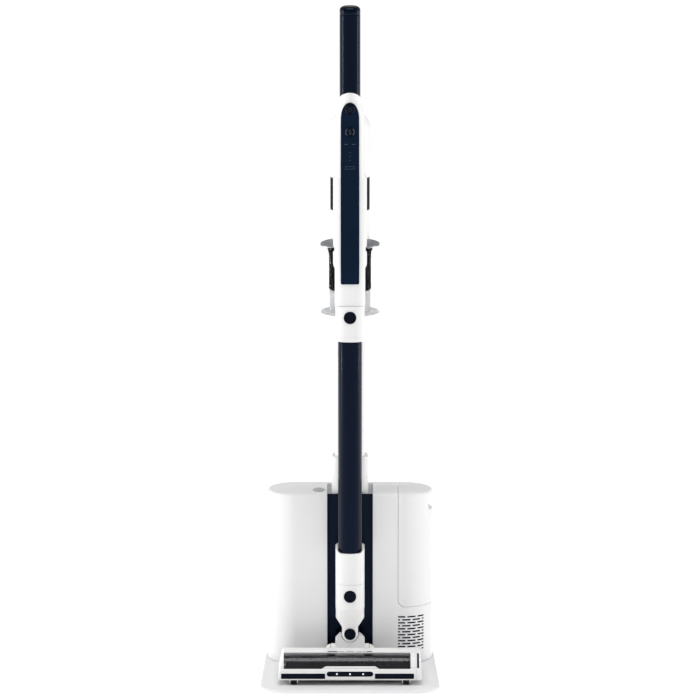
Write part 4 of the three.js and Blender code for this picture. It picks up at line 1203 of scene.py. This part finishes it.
def make_cyclone():
    """The dark filter drum under the lid, with a fine mesh round its waist, and the pale cone below it."""
    z0, z1 = heights("cyclone_core")
    top, body, bore = half("cyclone_core").x, 34.9, 20.5
    waist = body - 0.7
    mesh_low, mesh_high = z0 + 8.0, z1 - 24.0
    profile = [
        (bore, z0), (body - 1.5, z0), (body - 0.4, z0 + 0.5), (body, z0 + 1.6), (body, mesh_low - 0.6),
        (waist, mesh_low), (waist, mesh_high), (body, mesh_high + 0.6),
        (body, z1 - 15.0), (top, z1 - 4.0), (top, z1 - 0.2), (bore, z1 - 0.2),
    ]
    core = ring_turned("cyclone_body", profile, CUP_AXIS, steps=FINE)
    place(core, "cup", CORE, ["cyclone_core"], edge=0.15)
    inside, outside, z0, z1 = waist + 0.05, waist + 0.35, mesh_low + 0.2, mesh_high - 0.2
    sleeve = [(inside, z0), (outside, z0), (outside, z1), (inside, z1)]
    place(ring_turned("cyclone_mesh", sleeve, CUP_AXIS, steps=FINE), "cup", MESH)

    z0, z1 = heights("inner_cyclone")
    wide, bore = half("inner_cyclone").x, 15.0
    cone = [
        (bore, z0), (wide - 1.8, z0), (wide - 1.0, z0 + 0.8), (wide - 1.0, z0 + 3.0), (wide - 0.4, z0 + 3.4),
        (wide, z1 - 2), (wide, z1 - 0.3), (bore, z1 - 0.3),
    ]
    inner = ring_turned("cyclone_cone", cone, CUP_AXIS)
    place(inner, "cup", LIGHT_GREY, ["inner_cyclone"], edge=0.3)


make_cup()
make_cyclone()


# -------------------- the floor head

ROLLER = middle("brush_roller")
HINGE = middle("hinge_pin")
HEAD_LOW, HEAD_HIGH = ends("head_shell")
CAP_LOW, CAP_HIGH = ends("head_cap")
HEAD_FRONT = HEAD_LOW.y
CROWN = HEAD_HIGH.z - ROLLER.z
LEDGE_Z = 36.0
PIVOT_Z = middle("swivel_pin").z
CAP_LEFT = HEAD_HIGH.x + GAP
BARREL = HINGE.z - low("yoke").z
HINGE_HOLE = 3.3
WINDOW_OUT = 36.0  # beyond the head's crown


def make_yoke():
    """Two shoulders that hold the neck, on a barrel across the head."""
    reach = half("yoke").x
    wide, narrow, swing = 24.3, 16.6, 14.9
    corner, top = PIVOT_Z - 12, PIVOT_Z - 4
    right = [
        (wide, 44), (wide, corner - 1.0), (wide - 0.7, corner + 0.6), (narrow + 0.8, top - 0.5),
        (narrow - 0.6, top),
    ]
    yoke = prism("swivel_yoke", right + [(-x, z) for x, z in reversed(right)], -20.2, 6.0, "y")
    carve(yoke, prism("swing_room", circle(0, PIVOT_Z, swing, ROUND), -FAR, FAR, "y"))
    tongue_half, tongue_depth = 12.0, (-13.7, -0.3)
    tongue = prism("tongue", circle(0, PIVOT_Z, tongue_half), *tongue_depth, "y")
    add(yoke, block("web", -tongue_half, tongue_half, *tongue_depth, 50, PIVOT_Z), tongue)
    barrel = tube_profile(0, BARREL, -reach, reach, 1.2)
    add(yoke, turned("barrel", barrel, (0, HINGE.y, HINGE.z), "x"))
    carve(
        yoke,
        prism("pin_hole", circle(0, PIVOT_Z, PIN_HOLE, 32), -FAR, FAR, "y"),
        prism("hinge_hole", circle(HINGE.y, HINGE.z, HINGE_HOLE, 32), -FAR, FAR, "x"),
    )
    place(yoke, "yoke", WHITE, ["yoke"], edge=0.5)


def curve(start, *handles, steps=12):
    """A curve from start to the last handle, drawn by the other handles, as its points after start."""
    points = []
    for i in range(1, steps + 1):
        row = [Vector(p) for p in (start, *handles)]
        while len(row) > 1:
            row = [a.lerp(b, i / steps) for a, b in zip(row, row[1:])]
        points.append(tuple(row[0]))
    return points


def head_outline(inset=0.0):
    """The head's side outline: an upright front, a ledge, a crown over the roller and a falling back."""
    bottom, top = HEAD_LOW.z + inset, HEAD_HIGH.z - inset
    front, ledge, back = HEAD_FRONT + inset, LEDGE_Z - inset, -16.0 - inset
    crown = CROWN - inset
    first = math.asin((ledge - ROLLER.z) / crown)
    points = [(back, bottom)]
    points += arc(front + 4.0, bottom + 4.0, 4.0, 270, 180, 6)
    points.append((front, high("light_bar").z + 1.0))
    points += curve(points[-1], (front, ledge), (ROLLER.y - crown * math.cos(first), ledge), steps=6)
    points += arc(ROLLER.y, ROLLER.z, crown, 180 - math.degrees(first), 90, 24)[1:]
    points.append((-66.0, top))
    points += curve(points[-1], (-46.0, top), (-24.0 - inset, 47.0), (back, HINGE.z), steps=14)
    return points


def head_solid(name, x0, x1, round0, round1):
    """A length of the head, with the head's two ends leaning in towards its top."""
    body = soft_prism(name, head_outline, x0, x1, round0, round1, "x", 5)
    for side, x, lean in ((-1, HEAD_LOW.x, math.radians(13)), (1, CAP_HIGH.x, math.radians(5))):
        carve(body, tilted_block("lean", (x, 0, 20), (side * math.cos(lean), 0, math.sin(lean))))
    return body


def sector(inner, outer, start, end, steps=32):
    """A piece of a thick arc round the roller's axis, seen from the side."""
    y, z = ROLLER.y, ROLLER.z
    return arc(y, z, outer, start, end, steps) + arc(y, z, inner, end, start, steps)


def make_ears(shell):
    """Two cheeks on the head's back that hold the hinge's barrel, and the pan under it."""
    near, far, top = half("yoke").x + 0.4, half("yoke").x + 8.0, 48.5
    front, back = -34.0, 3.0
    for side in (-1, 1):
        ends = sorted((side * near, side * far))

        def outline(inset):
            return rounded(front + inset, back - inset, HEAD_LOW.z + inset, top - inset, 8 - inset, 10)

        ear = soft_prism("ear", outline, *ends, 0.6, 0.6, "x", 3)
        carve(ear, tilted_block("slope", (side * (near + 0.5), 0, top), (side * 0.9, 0, 1)))
        add(shell, ear)
    add(shell, block("pan", -far + 1.5, far - 1.5, front, back, HEAD_LOW.z + 0.2, 21.5))


# painted shadow: the dark bars and the grey bars between them stand in for the shade in the gap across the
# head's top
GAP_SHADOW_DARK = ((-37.0, -20.5), (27.5, 36.5))
GAP_SHADOW_GREY = ((-19.0, -9.0), (-6.0, 7.0), (10.0, 20.0), (22.0, 26.0))


def gap_blocks(inset, z0, z1, runs=GAP_SHADOW_DARK + GAP_SHADOW_GREY):
    """Short bars in a row across the head's top, just behind the window."""
    front, back = -82.0, -76.4
    return [block("gap_bar", x0 + inset, x1 - inset, front + inset, back - inset, z0, z1) for x0, x1 in runs]


def make_painted_gap_shadow():
    """Painted shadow: dark bars and grey bars let into the head's top, standing in for the shade in the gap
    just behind the window.
    """
    z0, z1 = HEAD_HIGH.z - 1.1, HEAD_HIGH.z - 0.4
    place(joined("painted_gap_shadow_dark", gap_blocks(0.15, z0, z1, GAP_SHADOW_DARK)), "head", RUBBER)
    place(joined("painted_gap_shadow_grey", gap_blocks(0.15, z0, z1, GAP_SHADOW_GREY)), "head", GREY)


def make_head():
    """The head's hollow shell, with room for all that it carries."""
    window_low, window_high = ends("head_window")
    shell = head_solid("head_cover", HEAD_LOW.x, HEAD_HIGH.x, 2.4, 0.3)
    make_ears(shell)
    hinge_reach, pin_reach = half("yoke").x + 0.4, half("hinge_pin").x
    chamber_radius = 22.5
    window_room = sector(chamber_radius - 1, WINDOW_OUT, 89, 168)
    carve(
        shell,
        prism("chamber", circle(ROLLER.y, ROLLER.z, chamber_radius, 96), -110, 103, "x"),
        prism("window_room", window_room, window_low.x - GAP, window_high.x + GAP, "x"),
        block("airway", -18, 18, ROLLER.y + 14, -17, 22, 40),
        prism("barrel_room", circle(HINGE.y, HINGE.z, BARREL + 0.6, ROUND), -hinge_reach, hinge_reach, "x"),
        block("yoke_room", -25, 25, -20.8, 20, 38, 80),
        prism("hinge_hole", circle(HINGE.y, HINGE.z, HINGE_HOLE, 32), -pin_reach, pin_reach, "x"),
        prism("boss_hole", circle(ROLLER.y, ROLLER.z, 8.4), 95, 120, "x"),
    )
    carve(shell, joined("grooves", gap_blocks(0.0, HEAD_HIGH.z - 1.2, HEAD_HIGH.z + 5)))
    a, b = ends("light_bar")
    bar_room = rounded(a.x - GAP, b.x + GAP, a.z - GAP, b.z + GAP, (b.z - a.z) / 2 + 0.29, 10)
    carve(shell, prism("bar_room", bar_room, HEAD_FRONT - 10, HEAD_FRONT + 3, "y"))
    for node in ("bumper_left", "bumper_right"):
        carve(shell, room("bumper_room", node, y=(HEAD_FRONT - 10, HEAD_FRONT + 1.8)))
    for i in range(1, 5):
        node = "wheel_%d" % i
        c, h = middle(node), half(node)
        beside = h.x + 0.4
        carve(shell, prism("wheel_room", circle(c.y, c.z, h.z + 1, 32), c.x - beside, c.x + beside, "x"))
    place(shell, "head", WHITE, ["head_shell"], edge=0.3)
    make_painted_gap_shadow()
    make_head_end()


def make_head_end():
    """The end that comes off to free the roller, with a narrow dark window beside its seam."""
    cap = head_solid("head_end", CAP_LEFT, CAP_HIGH.x, 0.3, 2.4)
    add(cap, prism("boss", circle(ROLLER.y, ROLLER.z, 8.0), CAP_LOW.x, CAP_LEFT + 1, "x"))
    x0, x1 = CAP_LEFT + 1.2, CAP_LEFT + 4.6
    carve(cap, prism("slit_room", sector(CROWN - 1.6, WINDOW_OUT, 96, 165), x0, x1, "x"))
    place(cap, "head", WHITE, ["head_cap"], edge=0.25)
    cover = prism("end_window", sector(CROWN - 1.5, CROWN - 0.4, 96.5, 164.5), x0 + 0.1, x1 - 0.1, "x")
    place(cover, "head", NAVY, edge=0.15)


def make_window():
    """The smoked cover over the roller, with a lower raised lip in its middle."""
    a, b = ends("head_window")
    inner, outer = CROWN - 3.3, CROWN - 0.8
    window = prism("roller_window", sector(inner, outer, 90.5, 166.5, 48), a.x, b.x, "x")
    place(window, "head", SMOKE, ["head_window"], edge=0.3)
    lip_rings = []
    for x, start in ((-46.0, 166.6), (-40.0, 158.5), (41.5, 158.5), (47.5, 166.6)):
        outline = sector(outer + 0.05, outer + 0.75, start, 167.6, 8)
        lip_rings.append([(x, y, z) for y, z in outline])
    lip = new_object("window_lip", stack(lip_rings))
    place(lip, "head", WHITE)


def make_roller():
    """A brush with dense pile, and two rows of longer bristles that spiral round it."""
    a, b = ends("brush_roller")
    radius = half("brush_roller").z
    rings = []
    lengths, around = 140, 96
    for i in range(lengths + 1):
        x = a.x + (b.x - a.x) * i / lengths
        turn = TAU * 1.25 * (x - a.x) / (b.x - a.x)
        ring = []
        for k in range(around):
            angle = TAU * k / around
            ridge = max(0.0, math.cos(2 * (angle - turn))) ** 10
            tuft = noise.noise(Vector((x * 0.9, math.cos(angle) * 12, math.sin(angle) * 12)))
            r = radius - 2.2 + 1.9 * ridge + 0.35 * tuft - (0.6 if i in (0, lengths) else 0)
            ring.append((x, ROLLER.y + r * math.cos(angle), ROLLER.z + r * math.sin(angle)))
        rings.append(ring)
    roller = new_object("roller_brush", stack(rings))
    carve(roller, prism("bore", circle(ROLLER.y, ROLLER.z, 12.6, 48), a.x - 5, b.x + 5, "x"))
    place(roller, "roller", PILE, ["brush_roller"], sharp=60)


def make_front():
    """The lamps in their dark bar, and the bumper strips at both sides of it."""
    a, b = ends("light_bar")
    radius = (b.z - a.z) / 2
    z = (a.z + b.z) / 2
    face = HEAD_FRONT - 0.6

    def outline(inset):
        return rounded(a.x + inset, b.x - inset, a.z + inset, b.z - inset, radius - inset - 0.01, 12)

    bar = soft_prism("lamp_bar", outline, face, HEAD_FRONT + 2.5, 0.5, 0.1, "y", 4)
    spacing, lens = 21.5, 1.3
    for i in (-1, 0, 1):
        carve(bar, prism("socket", circle(i * spacing, z, lens + 0.3, 32), face - 5, face + 1.0, "y"))
    place(bar, "head", BLACK, ["light_bar"], edge=0.15)
    lamps = []
    profile = [
        (0, face + 1.2), (lens, face + 1.2), (lens, face + 0.5), (lens * 0.8, face + 0.1),
        (lens * 0.4, face - 0.15), (0, face - 0.2),
    ]
    for i in (-1, 0, 1):
        lamps.append(turned("lens", profile, (i * spacing, 0, z), "y", 32))
    place(joined("lamp_lenses", lamps), "head", LAMP)

    for node, name in (("bumper_left", "left_bumper"), ("bumper_right", "right_bumper")):
        a, b = ends(node)
        strip = prism(name, rounded(a.x, b.x, a.z, b.z, 0.8, 6), HEAD_FRONT - 0.5, HEAD_FRONT + 1.5, "y")
        place(strip, "head", BLACK, [node], edge=0.4)


def make_wheels():
    """Four small wheels with a dished side round the hub."""
    bodies = ("front_wheel_left", "front_wheel_right", "rear_wheel_left", "rear_wheel_right")
    for i, body in enumerate(bodies, start=1):
        node = "wheel_%d" % i
        c, h = middle(node), half(node)
        r, w = h.z, h.x
        dish = 0.6
        hub_side = [
            (0, w), (r * 0.5, w), (r * 0.55, w - dish), (r * 0.8, w - dish), (r - dish, w), (r, w - dish),
        ]
        profile = [(radius, -x) for radius, x in hub_side] + hub_side[::-1]
        wheel = turned("floor_wheel_%d" % i, profile, (c.x, c.y, c.z), "x", 48)
        place(wheel, body, RUBBER, [node], sharp=40)
        if body.startswith("front"):
            make_wheel_bracket("wheel_bracket_%d" % i, c, w + 1.2)


def make_wheel_bracket(name, axle, reach):
    """The two small cheeks that hold a front wheel under the head."""
    head_bottom, thick_half, y, z = 16.0, 0.8, axle.y, axle.z
    outline = [
        (y - 3, head_bottom), (y - 2.4, z - 1.4), (y - 1.2, z - 2.2),
        (y + 1.2, z - 2.2), (y + 3, head_bottom),
    ]
    cheeks = []
    for x in (axle.x - reach, axle.x + reach):
        cheeks.append(prism("cheek", outline, x - thick_half, x + thick_half, "x"))
    place(joined(name, cheeks), "head", WHITE, edge=0.15)


make_yoke()
make_head()
make_window()
make_roller()
make_front()
make_wheels()
